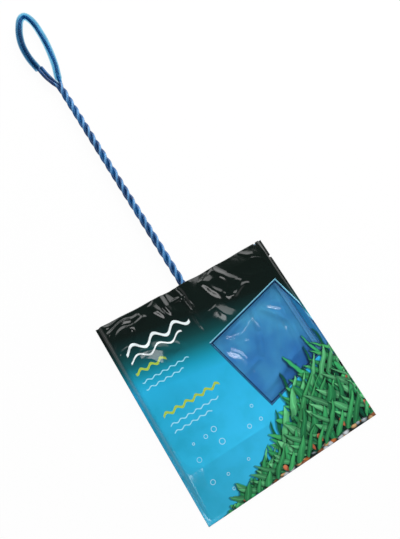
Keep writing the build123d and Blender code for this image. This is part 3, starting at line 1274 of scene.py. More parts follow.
@dataclass
class TwistedHandle:
    """The three-strand handle, its hanging loop and the tube over it."""

    wire: float = 3.0
    strand_gap: float = 0.15
    turns: float = 7.25
    lead: float = 1 / 12  # turns by which the loop's strand is ahead where the loop starts
    loop_length: float = 86.0
    loop_width: float = 28.3
    tube: float = 6.6
    tube_wall: float = 0.8
    wire_lean: float = 0.7
    tail_gap: float = 0.3
    root_drop: float = 6.5
    root_reach: float = 9.0
    steps_per_turn: int = 56
    span_steps: int = 20
    arm_steps: int = 32
    squeeze_start: int = 8
    squeeze_air: float = 0.06
    sides: int = 24
    # Across and along, as shares of the loop's half width and reach, and the wire's lean inwards
    outline: Rows = (
        (0.28, 0.14, -0.3), (0.60, 0.29, -1.0), (0.88, 0.50, 0.2), (1.00, 0.72, 1.0),
        (0.88, 0.92, 1.0), (0.42, 1.00, 0.6), (-0.36, 0.88, 0.6), (-0.88, 0.69, 1.0),
        (-0.98, 0.50, 0.9), (-0.80, 0.32, 0.0),
    )
    # Across and up in strand radii, and along, where the returning wire meets the twist
    parting: Rows = ((-3.85, 0.0, 0.19), (-2.53, 0.5, 0.085))
    # Up in strand radii, at each station of the cut end
    tail_lifts: tuple[float, ...] = (-0.55, 0.0, 0.0)

    def __post_init__(self) -> None:
        """Takes the handle's ends and levels from the frame."""
        _, strand_high = node_box("handle_strand_loop")
        top_low, top_high = node_box("rim_tape_top_left")
        self.strand_radius = (self.wire + self.strand_gap) / math.sqrt(3)
        self.radius = self.strand_radius + self.wire / 2
        self.level = strand_high[2] - self.radius
        self.frame_top = (top_low[1] + top_high[1]) / 2
        self.frame_level = (top_low[2] + top_high[2]) / 2
        self.corner_x = -top_low[0]
        self.start = self.frame_top + self.root_drop
        self.end = node_box("loop_tube")[1][1] - self.loop_length
        self.pitch = (self.end - self.start) / self.turns
        self.half = (self.loop_width - self.tube) / 2
        self.reach = self.loop_length - self.tube / 2
        self.shares = {"loop": self.lead, "tail": self.lead + 1 / 3, "return": self.lead + 2 / 3}

    def strand(self, share: float, y: Array) -> tuple[Array, Array]:
        """A right-handed helix about the handle's axis.

        Args:
            share: The strand's place in the twist, in turns.
            y: Where along the handle.

        Returns:
            Points and directions.
        """
        turn = FULL_TURN * (share + (y - self.end) / self.pitch)
        radius = self.strand_radius
        points = np.stack([radius * np.sin(turn), y, self.level + radius * np.cos(turn)], axis=-1)
        rise = np.full_like(y, self.pitch / FULL_TURN)
        along = np.stack([radius * np.cos(turn), rise, -radius * np.sin(turn)], axis=-1)
        return points, unit(along)

    def strand_end(self, name: str) -> tuple[Array, Array]:
        """A strand's point and direction where the loop starts."""
        return self.strand(self.shares[name], np.array([self.end]))

    def inward(self, directions: Array) -> Array:
        """Level directions to the left of travel, the inside of the loop."""
        return unit(np.stack([-directions[:, 1], directions[:, 0], np.zeros(len(directions))], axis=-1))

    def tube_stations(self) -> Array:
        """The loop's outline in millimetres.

        Returns:
            A point for each row of the outline.
        """
        across, along, _ = np.array(self.outline).T
        level = np.full_like(across, self.level)
        return np.stack([across * self.half, self.end + along * self.reach, level], axis=-1)

    def loop_stations(self) -> tuple[Array, Array]:
        """The wire of the loop, from the twist round its outline and back to the twist.

        Inside the tube the wire leans off the tube's line by its own lean at each station.

        Returns:
            Points and directions.
        """
        tube = self.tube_stations()
        lean = np.array(self.outline)[:, 2:] * self.wire_lean
        leaning = tube + self.inward(chords(tube)) * lean
        across, lift, along = np.array(self.parting).T
        parting = np.stack([
            across * self.strand_radius,
            self.end + along * self.reach,
            self.level + lift * self.strand_radius,
        ], axis=-1)
        first, leave = self.strand_end("loop")
        last, arrive = self.strand_end("return")
        points = np.concatenate([first, leaning, parting, last])
        directions = chords(points)
        directions[0], directions[-1] = leave[0], -arrive[0]
        return points, directions

    def tail_stations(self) -> tuple[Array, Array]:
        """The cut end, which lies against the returning wire on the loop's inside.

        Returns:
            Points and directions.
        """
        points, directions = self.loop_stations()
        beside = slice(len(self.outline), -1)
        back, ahead = points[beside][::-1], directions[beside][::-1]
        line = back + self.inward(ahead) * (self.wire + self.strand_gap)
        line[:, 2] = self.level + np.array(self.tail_lifts) * self.strand_radius
        line[-1] = line[-1] + ahead[-1] * self.tail_gap
        first, leave = self.strand_end("tail")
        return np.concatenate([first, line]), np.concatenate([leave, -ahead])

    def arm(self, share: float, side: Side) -> Array:
        """A strand's root, bent out along the frame's top wire as far as the corner.

        Args:
            share: The strand's place in the twist, in turns.
            side: Where it goes.

        Returns:
            The line's points.
        """
        first, upward = self.strand(share, np.array([self.start]))
        out = np.array([side.value, 0.0, 0.0])
        bend = np.array([side.value * self.root_reach, self.frame_top, self.frame_level])
        corner = np.array([side.value * self.corner_x, self.frame_top, self.frame_level])
        points = np.stack([first[0], bend, corner])
        return hermite(points, np.stack([-upward[0], out, out]), self.arm_steps)

    def rod(self, name: str, path: Array, finish: Material, node: str) -> None:
        """A round wire along a path, in place of its solid.

        Args:
            name: The piece's name.
            path: The wire's line.
            finish: Its coat.
            node: The solid.
        """
        points = carried(path, ring(self.wire / 2, self.sides))
        piece = mesh_piece(name, points, rod_faces(len(path), self.sides), [finish])
        settle(piece, Body.NET, Slot.WIRE, node)

    def build(self, wire: Material, vinyl: Material) -> None:
        """Makes and dresses the strands, the loop, the cut end, the arms and the tube.

        Args:
            wire: The coat.
            vinyl: The tube's finish.
        """
        y = np.linspace(self.start, self.end, round(self.turns * self.steps_per_turn) + 1)
        for name, share in self.shares.items():
            self.rod(f"strand_{name}", self.strand(share, y)[0], wire, f"handle_strand_{name}")
        self.rod("hanging_loop_wire", hermite(*self.loop_stations(), self.span_steps), wire, "loop_wire")
        self.rod("cut_wire_end", hermite(*self.tail_stations(), self.span_steps), wire, "wire_tail")
        for side, share in ((Side.LEFT, "loop"), (Side.RIGHT, "tail")):
            name = side.name.lower()
            self.rod(f"top_wire_{name}", self.arm(self.shares[share], side), wire, f"frame_arm_{name}")
        for node in ("frame_side_left", "frame_side_right", "frame_bottom"):
            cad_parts[node].data.materials.clear()
            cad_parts[node].data.materials.append(wire)
        self.sleeve_tube(vinyl)

    def tube_line(self) -> tuple[Array, Array]:
        """The tube's line and its radius.

        Round the loop the radius is the tube's own. On the last run to the twist the soft tube
        is squeezed: its radius is what the wires beside it leave free.

        Returns:
            The line's points and the outer radius at each.
        """
        steps = self.span_steps
        stations = self.tube_stations()
        whole = hermite(stations, chords(stations), steps)
        wire = hermite(*self.loop_stations(), steps)
        run = wire[self.squeeze_start:steps]
        share = np.linspace(0, 1, len(run) + 1)[:-1, None]
        run = run + share * (whole[0] - wire[steps])
        beside = np.concatenate([hermite(*self.tail_stations(), steps), wire[-2 * steps:]])
        room = np.linalg.norm(run[:, None] - beside[None], axis=-1).min(axis=1) - self.wire / 2
        squeezed = np.minimum(room - self.squeeze_air, self.tube / 2)
        radius = np.concatenate([squeezed, np.full(len(whole), self.tube / 2)])
        return np.concatenate([run, whole]), radius

    def sleeve_tube(self, vinyl: Material) -> None:
        """The clear tube: its outside from end to end and its bore back again, closed at both ends.

        Args:
            vinyl: Its finish.
        """
        path, radius = self.tube_line()
        inner = np.maximum(radius - self.tube_wall, self.wire / 2 + self.squeeze_air)
        circle = ring(1.0, self.sides * 2)
        outside = carried(path, circle * radius[:, None, None])
        bore = carried(path, circle * inner[:, None, None])[::-1]
        points = np.concatenate([outside, bore])
        faces = grid_quads(*points.shape[:2], wrap_rows=True, wrap_columns=True)
        piece = mesh_piece("hanging_loop_tube", points, [faces], [vinyl])
        settle(piece, Body.NET, Slot.TUBE, "loop_tube")


# Head of the net


@dataclass
class Hoop:
    """The frame's rim: a round-cornered rectangle of wire in its tape."""

    corner_points: int = 90

    def __post_init__(self) -> None:
        """Takes the rim's sizes from the frame."""
        _, right_high = node_box("rim_tape_right")
        bottom_low, bottom_high = node_box("rim_tape_bottom")
        top_low, top_high = node_box("rim_tape_top_left")
        self.tape_radius = (bottom_high[2] - bottom_low[2]) / 2
        self.level = (bottom_high[2] + bottom_low[2]) / 2
        self.bottom = (bottom_high[1] + bottom_low[1]) / 2
        self.top = (top_high[1] + top_low[1]) / 2
        self.half = right_high[0] - self.tape_radius
        self.corner = self.half + top_low[0]
        self.opening = -top_high[0]  # from the axis to where the top tape starts

    def offset(self, x: Array, y: Array) -> Array:
        """How far a point lies outside the wire's line, negative inside the hoop.

        Along each axis the distance past the corner's middle is found. Where both are
        positive the point is beside a corner, and otherwise beside a straight.

        Args:
            x, y: The points.

        Returns:
            The distances.
        """
        across = np.abs(x) - (self.half - self.corner)
        along = np.abs(y - (self.top + self.bottom) / 2) - (self.top - self.bottom) / 2 + self.corner
        beside = np.hypot(np.maximum(across, 0), np.maximum(along, 0))
        return beside + np.minimum(np.maximum(across, along), 0) - self.corner

    def line(self, inset: float = 0.0) -> tuple[Array, Array]:
        """The rim counter-clockwise from the left end of its bottom wire.

        Args:
            inset: How far inside the wire's line.

        Returns:
            The points and the running length at each.
        """
        radius = self.corner - inset
        quarter = np.linspace(0, QUARTER_TURN, self.corner_points)
        centre_x = self.half - self.corner
        low, high = self.bottom + self.corner, self.top - self.corner
        places = ((centre_x, low, -1), (centre_x, high, 0), (-centre_x, high, 1), (-centre_x, low, 2))
        arcs = [
            np.stack([
                x + radius * np.cos(quarter + quadrant * QUARTER_TURN),
                y + radius * np.sin(quarter + quadrant * QUARTER_TURN),
            ], axis=-1)
            for x, y, quadrant in places
        ]
        start = np.array([[-centre_x, self.bottom + inset]])
        line = np.concatenate([start, *arcs])
        line = np.column_stack([line, np.full(len(line), self.level)])
        return line, running_length(line)

    def stretch(self, start: float, end: float, step: float, inset: float = 0.0) -> tuple[Array, Array]:
        """Evenly spaced points of the rim.

        Args:
            start, end: Running lengths.
            step: About how far apart.
            inset: How far inside the wire's line.

        Returns:
            The points and the running length at each.
        """
        line, length = self.line(inset)
        along = np.linspace(start, end, max(2, round((end - start) / step) + 1))
        points = np.stack([np.interp(along, length, line[:, axis]) for axis in range(3)], axis=-1)
        return points, along


@dataclass
class RimTape:
    """Woven tape folded over the rim, with a sewn flange on the hoop's inside."""

    hoop: Hoop
    flange: float = 3.4
    flange_wall: float = 0.55
    flange_drop: float = 1.72  # from the wire's middle to the flange's middle
    flange_points: int = 7
    flange_lift: float = 0.10  # how far the stitches draw the flange up and down
    casing_arc: Band = (-112.0, 208.0)  # degrees round the wire
    casing_points: int = 30
    pucker: float = 0.09
    pucker_length: float = 4.6
    step: float = 0.8
    stitch_pitch: float = 3.1
    stitch_length: float = 2.3
    stitch_radius: float = 0.24
    stitch_inset: float = 1.5  # from the casing to the row of stitches
    stitch_margin: float = 1.0  # from a tape's end to its first stitch
    stitch_rows: int = 9
    stitch_sides: int = 8
    # Corners that the rim turns before each length of tape starts, and before it ends
    PASSED = ((0, 0), (0, 2), (2, 2), (2, 2), (2, 4))

    def spans(self) -> dict[str, Band]:
        """Each length of tape as running lengths of the rim.

        Returns:
            Start and end by the tape's solid.
        """
        hoop = self.hoop
        straight = 2 * (hoop.half - hoop.corner)
        turn = QUARTER_TURN * hoop.corner
        upright = hoop.top - hoop.bottom - 2 * hoop.corner
        side = upright + 2 * turn
        top_middle = straight + side + straight / 2
        return {
            "rim_tape_bottom": (0, straight),
            "rim_tape_right": (straight, straight + side),
            "rim_tape_top_right": (straight + side, top_middle - hoop.opening),
            "rim_tape_top_left": (top_middle + hoop.opening, 2 * straight + side),
            "rim_tape_left": (2 * straight + side, 2 * straight + 2 * side),
        }

    def inset_spans(self, inset: float) -> list[Band]:
        """The lengths of tape, as running lengths of a line that lies inside the rim.

        Each corner that is passed is shorter by a quarter turn of the inset.

        Args:
            inset: How far inside.

        Returns:
            Start and end of each length.
        """
        shorter = QUARTER_TURN * inset
        return [
            (start - before * shorter, end - after * shorter)
            for (start, end), (before, after) in zip(self.spans().values(), self.PASSED)
        ]

    def profile(self, along: Array) -> Array:
        """The casing's round with the flange's two plies, puckered along the rim.

        The round runs counter-clockwise from under the wire to the inside, then the line goes
        out along the flange's top, round its edge and back along its underside. Two sines of
        the running length swell the round, and a third lifts the flange between stitches.

        Args:
            along: Running lengths.

        Returns:
            A profile for each.
        """
        radius = self.hoop.tape_radius
        angle = np.radians(np.linspace(*self.casing_arc, self.casing_points))
        casing = radius * np.stack([np.cos(angle), np.sin(angle)], axis=-1)
        tip = -(radius + self.flange)
        half = self.flange_wall / 2
        count = self.flange_points
        reach = np.linspace(-radius * 0.98, tip, count)
        top = np.stack([reach, np.full(count, half - self.flange_drop)], axis=-1)
        edge = np.array([[tip - half * 0.8, -self.flange_drop]])
        under = np.stack([reach[::-1], np.full(count, -half - self.flange_drop)], axis=-1)
        shape = np.concatenate([casing, top, edge, under])
        on_flange = shape[:, 0] < -radius
        wave = np.sin(along * FULL_TURN / self.pucker_length) + 0.6 * np.sin(along * 2.9 + 1.0)
        swell = 1 + self.pucker * wave[:, None, None] / radius * np.array([0.6, 1.0])
        draw = np.sin(along * FULL_TURN / self.stitch_pitch)
        puckered = shape[None] * np.where(on_flange[None, :, None], 1.0, swell)
        puckered[..., 1] += self.flange_lift * draw[:, None] * on_flange
        return puckered

    def build(self, cloth: Material, thread: Material) -> None:
        """Makes and dresses the five lengths of tape and their stitches.

        Args:
            cloth: The tape's finish.
            thread: The stitches' finish.
        """
        for node, (start, end) in self.spans().items():
            path, along = self.hoop.stretch(start, end, self.step)
            profile = self.profile(along)
            points = carried(path, profile)
            across = running_length(profile[0])
            weave = np.stack(np.broadcast_arrays(along[:, None], across[None]), axis=-1)
            faces = rod_faces(*points.shape[:2])
            piece = mesh_piece(f"{node}_cloth", points, faces, [cloth], weave)
            settle(piece, Body.NET, Slot.TAPE, node)
        self.stitches(thread)

    def stitches(self, thread: Material) -> None:
        """A row of stitches on the flange: each is a spindle, a circle whose radius falls to its ends.

        Args:
            thread: Their finish.
        """
        inset = self.hoop.tape_radius + self.stitch_inset
        margin = self.stitch_margin
        spans = [
            self.hoop.stretch(start + margin, end - margin, self.stitch_pitch, inset)[0]
            for start, end in self.inset_spans(inset)
        ]
        centre = np.concatenate(spans)
        travel = np.concatenate([chords(span) for span in spans])
        right = np.cross(travel, UPWARDS)
        u = np.linspace(-0.98, 0.98, self.stitch_rows)
        size = self.stitch_radius * np.sqrt(1 - u**2)
        angle = np.linspace(0, FULL_TURN, self.stitch_sides, endpoint=False)
        lift = self.flange_wall / 2 - self.flange_drop
        along = (u * self.stitch_length / 2)[None, :, None, None]
        body = centre[:, None, None] + travel[:, None, None] * along
        body = body + right[:, None, None] * (size[:, None] * np.cos(angle))[None, ..., None]
        body = body + np.array(UPWARDS) * (size[:, None] * np.sin(angle) + lift)[None, ..., None]
        count, rows, columns = body.shape[:3]
        base = np.arange(count)[:, None, None] * rows * columns
        faces = [(base + group[None]).reshape(-1, group.shape[1]) for group in rod_faces(rows, columns)]
        piece = mesh_piece("rim_stitches", body, faces, [thread])
        settle(piece, Body.NET, Slot.TAPE)


@dataclass
class MeshPouch:
    """The bag of the net, laid flat: a floor under the hoop that folds back at its end."""

    hoop: Hoop
    step: float = 1.0
    columns: int = 150
    floor: float = 0.95
    flap: float = 1.62
    fold_points: int = 9
    edge_level: float = 1.80
    edge_width: float = 9.0
    ruffle: float = 0.5
    ruffle_waves: Waves = Waves(5, 14.0, 34.0, 9)
    still: float = 4.0  # from the bottom wire to where folds may start
    wake: float = 14.0  # from there to where they are full
    # Soft folds: across and along below the hoop's top at both ends, half width and height
    folds: Rows = (
        (40, 34, 34, 56, 2.2, 1.8), (34, 56, 24, 74, 2.4, 1.8), (24, 74, 4, 80, 2.4, 1.4),
        (60, 40, 30, 100, 3.4, 1.5), (-20, 20, -50, 90, 4.0, 1.5), (10, 100, 60, 84, 2.8, 1.5),
        (-10, 108, -62, 60, 3.2, 1.4), (-30, 30, 20, 24, 3.2, 1.2), (52, 108, 66, 30, 3.0, 1.4),
        (8, 46, 30, 40, 2.6, 1.4), (46, 40, 62, 62, 2.6, 1.5),
    )

    def __post_init__(self) -> None:
        """Takes the pouch's end from the frame."""
        low, high = node_box("mesh_pouch")
        self.end = low[1]
        self.top = high[1]
        self.side = high[0]

    def section(self) -> tuple[Array, Array]:
        """The sheet's line down the middle.

        It runs along the floor, round a half circle at the fold and back to the bottom wire.

        Returns:
            Along and height of each point, and the running length.
        """
        turn = np.linspace(-QUARTER_TURN, QUARTER_TURN, self.fold_points)[::-1] + math.pi
        radius = (self.flap - self.floor) / 2
        fold_y = self.end + radius + radius * np.cos(turn)
        fold_z = (self.flap + self.floor) / 2 + radius * np.sin(turn) * -1
        y = np.concatenate([[self.top], fold_y, [self.hoop.bottom]])
        z = np.concatenate([[self.floor], fold_z, [self.flap]])
        length = np.concatenate([[0], np.cumsum(np.hypot(np.diff(y), np.diff(z)))])
        along = np.unique(np.concatenate([np.arange(0, length[-1], self.step), length[1:]]))
        return np.stack([np.interp(along, length, y), np.interp(along, length, z)], axis=-1), along

    def half_width(self, y: Array) -> Array:
        """The sheet's half width: the hoop's, drawn in along a quarter circle at both ends.

        Args:
            y: Where along the sheet.

        Returns:
            The half widths.
        """
        corner = self.hoop.corner
        past = np.maximum(np.maximum(y - (self.top - corner), self.end + corner - y), 0)
        return self.side - corner + np.sqrt(np.maximum(corner**2 - past**2, 0))

    def wrinkles(self, x: Array, y: Array) -> Array:
        """Soft folds along lines, with a ruffle of smooth noise over them.

        Args:
            x, y: The sheet's points from above.

        Returns:
            The rise at each.
        """
        rise = np.zeros_like(x)
        for fold in self.folds:
            rise = rise + crease(x, self.top - y, fold, soft=True)
        ruffle = 0.5 + 0.5 * self.ruffle_waves.at(x, y)
        return rise + self.ruffle * ruffle.clip(0, 1)

    def build(self, cloth: Material) -> None:
        """The floor rises to the rim by the square of the share of the way there, and its folds
        fade towards the rim and the bottom wire.

        Args:
            cloth: Its finish.
        """
        line, along = self.section()
        u = np.linspace(-1, 1, self.columns)
        half = self.half_width(line[:, 0])
        x = u[:, None] * half[None]
        y = np.broadcast_to(line[:, 0], x.shape)
        flat = np.broadcast_to(line[:, 1], x.shape)
        on_floor = np.broadcast_to(along < along[-1] - (self.hoop.bottom - self.end), x.shape)
        inside = np.clip(-self.hoop.offset(x, y) / self.edge_width, 0, 1)
        rise = (self.edge_level - self.floor) * (1 - inside) ** 2
        room = np.clip((y - self.hoop.bottom - self.still) / self.wake, 0, 1) * inside
        lift = rise * (y > self.hoop.bottom) + self.wrinkles(x, y) * room
        points = np.stack([x, y, flat + np.where(on_floor, lift, 0.0)], axis=-1)
        weave = np.stack(np.broadcast_arrays(x, along[None]), axis=-1)
        faces = [grid_quads(*x.shape)]
        piece = mesh_piece("mesh_pouch_cloth", points, faces, [cloth], weave, SMOOTH_ALL_OVER)
        settle(piece, Body.NET, Slot.MESH, "mesh_pouch")


@dataclass
class PouchSeam:
    """The rolled and overlocked edge on each side of the pouch."""

    bite: float = 1.3
    swell: float = 0.14
    step: float = 0.22
    sides: int = 14
    girth: float = 4.0
    taper: float = 2.0  # length over which an end thins
    thinnest: float = 0.15

    def build(self, thread: Material) -> None:
        """Makes and dresses both seams: a flat oval that swells at each bite of the overlock.

        Args:
            thread: Their finish.
        """
        for side in Side:
            node = f"pouch_seam_{side.name.lower()}"
            low, high = node_box(node)
            y = np.arange(low[1], high[1], self.step)
            middle = (low + high) / 2
            path = np.stack([np.full_like(y, middle[0]), y, np.full_like(y, middle[2])], axis=-1)
            wave = np.abs(np.sin(y * math.pi / self.bite))
            oval = ring(1.0, self.sides) * (high - low)[[0, 2]] / 2
            ends = np.clip(np.minimum(y - y[0], y[-1] - y) / self.taper, self.thinnest, 1) ** 0.5
            profile = oval[None] * ((1 - self.swell + self.swell * wave) * ends)[:, None, None]
            points = carried(path, profile)
            around = np.linspace(0, self.girth, self.sides)
            weave = np.stack(np.broadcast_arrays(y[:, None], around[None]), axis=-1)
            piece = mesh_piece(f"{node}_thread", points, rod_faces(*points.shape[:2]), [thread], weave)
            settle(piece, Body.NET, Slot.MESH, node)


# Sleeve


@dataclass
class Sleeve:
    """The printed film sleeve: front, clear window and back."""

    hoop: Hoop
    handle: TwistedHandle
    film: float = 0.15
    cell: float = 0.75
    back_cell: float = 1.6
    window_cell: float = 0.4
    window_lap: float = 0.7  # how far the clear film reaches behind the printed one
    window_drop_in: float = 0.08  # between the two films
    air: float = 0.3
    sag: float = 2.2
    sag_length: float = 15.0
    side_shoulder: float = 6.0
    end_shoulder: float = 1.25
    loose_width: float = 5.0  # from a seal to where the film may ripple freely
    ripple: float = 0.16
    ripple_waves: Waves = Waves(2, 22.0, 60.0, 8)
    mouth_ripple: float = 0.06
    mouth_ripple_waves: Waves = Waves(3, 9.0, 20.0, 7)
    mouth_ripple_reach: float = 60.0
    wander: float = 2.2  # how far creases stray from straight lines
    wander_across: Waves = Waves(11, 16.0, 30.0, 6)
    wander_along: Waves = Waves(12, 16.0, 30.0, 6)
    headroom: float = 0.5  # below the model's top, where creases start to flatten
    mouth_drop: float = 0.3
    mouth_bend: float = 1.3
    ridge_slope: float = 0.24
    ridge_round: float = 5.0
    ridge_fade: float = 0.11
    ridge_start: float = 3.0  # below the hoop's top, where the tent starts to fall
    ridge_blend: float = 0.3
    mouth_dip: float = 2.0
    mouth_wave: float = 0.35
    mouth_wave_lengths: Band = (6.3, 17.0)
    mouth_zone: float = 14.0  # how far down the dip and the notch move points
    side_zone: float = 6.0
    seal_width: float = 2.55
    notch_width: float = 2.4
    notch_depth: float = 2.2
    notch_inset: float = 8.4
    notch_drop: float = 16.4
    notch_clear: float = 0.7  # notch widths in which the grid's own lines make way
    window_width: float = 77.5
    window_height: float = 67.9
    window_turn: float = 13.8
    window_side: float = 39.4
    window_drop: float = 79.4
    window_margin: float = 2.5
    back_lift: float = 0.1
    back_waves: Waves = Waves(8, 30.0, 70.0, 6)
    back_zone: float = 8.0
    # Sharp creases: across and below the mouth at both ends, half width and height
    creases: Rows = (
        (-9.5, 2, -4, 25, 3.0, -1.9), (-1.9, 4, -5.5, 21, 2.2, 0.8), (-15, 1, -10, 22, 3.2, -1.6),
        (6.6, 3, -0.8, 10, 2.2, 0.7), (26, 29, 48, 31, 2.8, 1.2), (9, 31, 22, 50, 9.0, 2.4),
        (-77, 3, -58, 1.5, 2.6, 1.1), (-79, 11, -47, 5, 3.2, 1.4), (-76, 18, -50, 13, 2.8, 1.2),
        (-72, 26, -46, 19, 3.0, 1.2), (-60, 31, -32, 48, 10.0, 2.6),
        (-25, 1, -17, 20, 4.0, 1.5), (-31, 2, -27, 22, 4.2, 1.2),
        (54, 4, 64, 10, 2.0, 0.5), (44, 17, 70, 28, 3.0, 0.4),
        (-7, 29, -4, 45, 3.0, 0.6), (-36, 29, -27, 50, 5.0, 0.6),
        (8, 56, 15, 62, 1.2, 0.7), (10, 59, 38, 60, 1.1, 0.7), (37, 59, 29, 71, 1.0, 0.6),
        (2, 66, 11, 83, 4.4, 1.15), (20, 66, 22, 69, 0.8, 0.4),
        (49, 52, 59, 64, 1.6, 0.6), (58, 62, 57, 76, 1.4, 0.5), (38, 50, 33, 80, 2.4, 0.5),
        (33, 78, 12, 92, 2.6, 0.6), (39, 95, 8, 112, 3.0, 0.6),
        (-70, 120, -60, 168, 5.0, 0.25), (62, 96, 70, 150, 5.0, 0.4),
    )
    # Soft folds in the same terms
    bells: Rows = (
        (23, 2, 36, 22, 4.4, 1.7), (15, 8, 26, 29, 4.6, 1.6), (38, 20, 33, 34, 3.2, 1.0),
        (-52, 18, -44, 10, 3.2, 1.1), (20, 150, 60, 162, 6.0, 0.4), (-40, 70, -52, 110, 7.0, 0.4),
    )

    def __post_init__(self) -> None:
        """Takes the sleeve's outline from the frame."""
        low, high = node_box("sleeve_front_film")
        self.half = high[0]
        self.bottom = low[1]
        self.mouth = high[1]
        self.ceiling = high[2]
        self.inner_half = self.half - self.seal_width
        self.seal_top = self.bottom + self.seal_width
        self.window_middle = (self.window_side, self.mouth - self.window_drop)

    def artwork(self) -> Print:
        """The print, placed on this sleeve."""
        half = (self.window_width / 2, self.window_height / 2)
        return Print(self.mouth, self.bottom, self.window_middle, half, math.radians(self.window_turn))

    def plan(self, cell: float) -> tuple[Array, Array]:
        """The sheet's points seen from above, with its dipping mouth and its two tear notches.

        A notch moves the points beside it in by a triangle of their distance from its middle.
        Near the mouth the points also move down by a parabola and a product of two sines.

        Args:
            cell: About how far apart.

        Returns:
            Across and along of a grid of points.
        """
        notch_x = self.half - self.notch_inset
        notch_y = self.mouth - self.notch_drop
        spread = np.array([-0.5, 0.0, 0.5]) * self.notch_width
        clear = self.notch_width * self.notch_clear
        x = np.linspace(-self.half, self.half, round(2 * self.half / cell) + 1)
        y = np.linspace(self.bottom, self.mouth, round((self.mouth - self.bottom) / cell) + 1)
        x = np.unique(np.concatenate([x[np.abs(x - notch_x) > clear], notch_x + spread]))
        y = np.unique(np.concatenate([y[np.abs(y - notch_y) > clear], notch_y + spread]))
        x, y = np.meshgrid(x, y, indexing="ij")
        near_mouth = np.clip(1 - (self.mouth - y) / self.mouth_zone, 0, 1) ** 2
        near_side = np.clip(1 - (self.half - x) / self.side_zone, 0, 1) ** 2
        short, long = self.mouth_wave_lengths
        dip = self.mouth_dip * (1 - (x / self.half) ** 2)
        dip = dip + self.mouth_wave * np.sin(x / short) * np.sin(x / long)
        mouth_cut = self.notch_depth * np.clip(1 - np.abs(x - notch_x) / (self.notch_width / 2), 0, 1)
        side_cut = self.notch_depth * np.clip(1 - np.abs(y - notch_y) / (self.notch_width / 2), 0, 1)
        return x - side_cut * near_side, y - (dip + mouth_cut) * near_mouth

    def window_plan(self) -> tuple[Array, Array]:
        """Fine points over the window's box, a lap wider all round.

        Returns:
            Across and along of a grid of points.
        """
        low, high = node_box("sleeve_window")
        margin = 2 * self.window_lap
        x = np.arange(low[0] - margin, high[0] + margin, self.window_cell)
        y = np.arange(low[1] - margin, high[1] + margin, self.window_cell)
        return tuple(np.meshgrid(x, y, indexing="ij"))

    def form(self, x: Array, y: Array) -> Array:
        """The front film's upper face without its creases.

        It is highest on the rim and sags as a falling exponential inside it. Outside, it falls
        to the seals by a power of the share of the way there. At the mouth it drops, and the
        handle lifts it in a tent. The two meet in a soft maximum.

        Args:
            x, y: The points from above.

        Returns:
            The heights.
        """
        hoop = self.hoop
        away = hoop.offset(x, y)
        crest = hoop.level + hoop.tape_radius + self.air + self.film
        flat = 2 * self.film
        sagged = crest - flat - self.sag * (1 - np.exp(np.minimum(away, 0) / self.sag_length))
        side_fall = np.clip((np.abs(x) - hoop.half) / (self.inner_half - hoop.half), 0, 1)
        end_fall = np.clip((hoop.bottom - y) / (hoop.bottom - self.seal_top), 0, 1)
        held = (1 - side_fall**self.side_shoulder) * (1 - end_fall**self.end_shoulder)
        past_rim = np.clip((y - hoop.top) / (self.mouth - hoop.top), 0, 1)
        z = flat + sagged * held * (1 - self.mouth_drop * past_rim**self.mouth_bend)
        top = self.handle.level + self.handle.radius + self.air + self.film
        tent = top - self.ridge_slope * (np.hypot(x, self.ridge_round) - self.ridge_round)
        tent = tent - self.ridge_fade * np.maximum(hoop.top - self.ridge_start - y, 0)
        return self.ridge_blend * np.logaddexp(z / self.ridge_blend, tent / self.ridge_blend)

    def ripples(self, x: Array, y: Array) -> Array:
        """The front film's creases: smooth noise, more of it near the mouth, then each fold.

        The folds are worked out at points that stray by smooth noise, so their lines wander.

        Args:
            x, y: The points from above.

        Returns:
            The rise at each.
        """
        depth = self.mouth - y
        upper = np.clip(1 - depth / self.mouth_ripple_reach, 0, 1)
        rise = self.ripple * self.ripple_waves.at(x, y)
        rise = rise + self.mouth_ripple * upper * np.abs(self.mouth_ripple_waves.at(x, y))
        stray_x = x + self.wander * self.wander_across.at(x, y)
        stray_depth = depth + self.wander * self.wander_along.at(x, y)
        for soft, folds in ((False, self.creases), (True, self.bells)):
            for fold in folds:
                rise = rise + crease(stray_x, stray_depth, fold, soft)
        return rise

    def height(self, x: Array, y: Array) -> Array:
        """The front film's upper face.

        Creases come on top of its form and fade at the seals. Under the model's top they flatten
        as a falling exponential, and nothing under the film is cut.

        Args:
            x, y: The points from above.

        Returns:
            The heights.
        """
        to_seal = np.minimum(self.inner_half - np.abs(x), y - self.seal_top)
        loose = np.clip(to_seal / self.loose_width, 0, 1)
        z = self.form(x, y) + self.ripples(x, y) * loose
        over = np.maximum(z - self.ceiling + self.headroom, 0)
        z = np.minimum(z, self.ceiling - self.headroom * np.exp(-over / self.headroom))
        return np.maximum(z, self.cover(x, y) + self.film + self.air)

    def cover(self, x: Array, y: Array) -> Array:
        """The top of what lies under the front film: the back film, the rim and the handle.

        Args:
            x, y: The points from above.

        Returns:
            The heights.
        """
        hoop, handle = self.hoop, self.handle
        away = hoop.offset(x, y)
        rim = np.where(
            np.abs(away) < hoop.tape_radius,
            hoop.level + np.sqrt(np.maximum(hoop.tape_radius**2 - away**2, 0)),
            0.0,
        )
        beside = np.maximum(handle.radius**2 - x**2, 0)
        stem = np.where((beside > 0) & (y > hoop.top), handle.level + np.sqrt(beside), 0.0)
        return np.maximum(np.maximum(rim, stem), self.film - self.air)

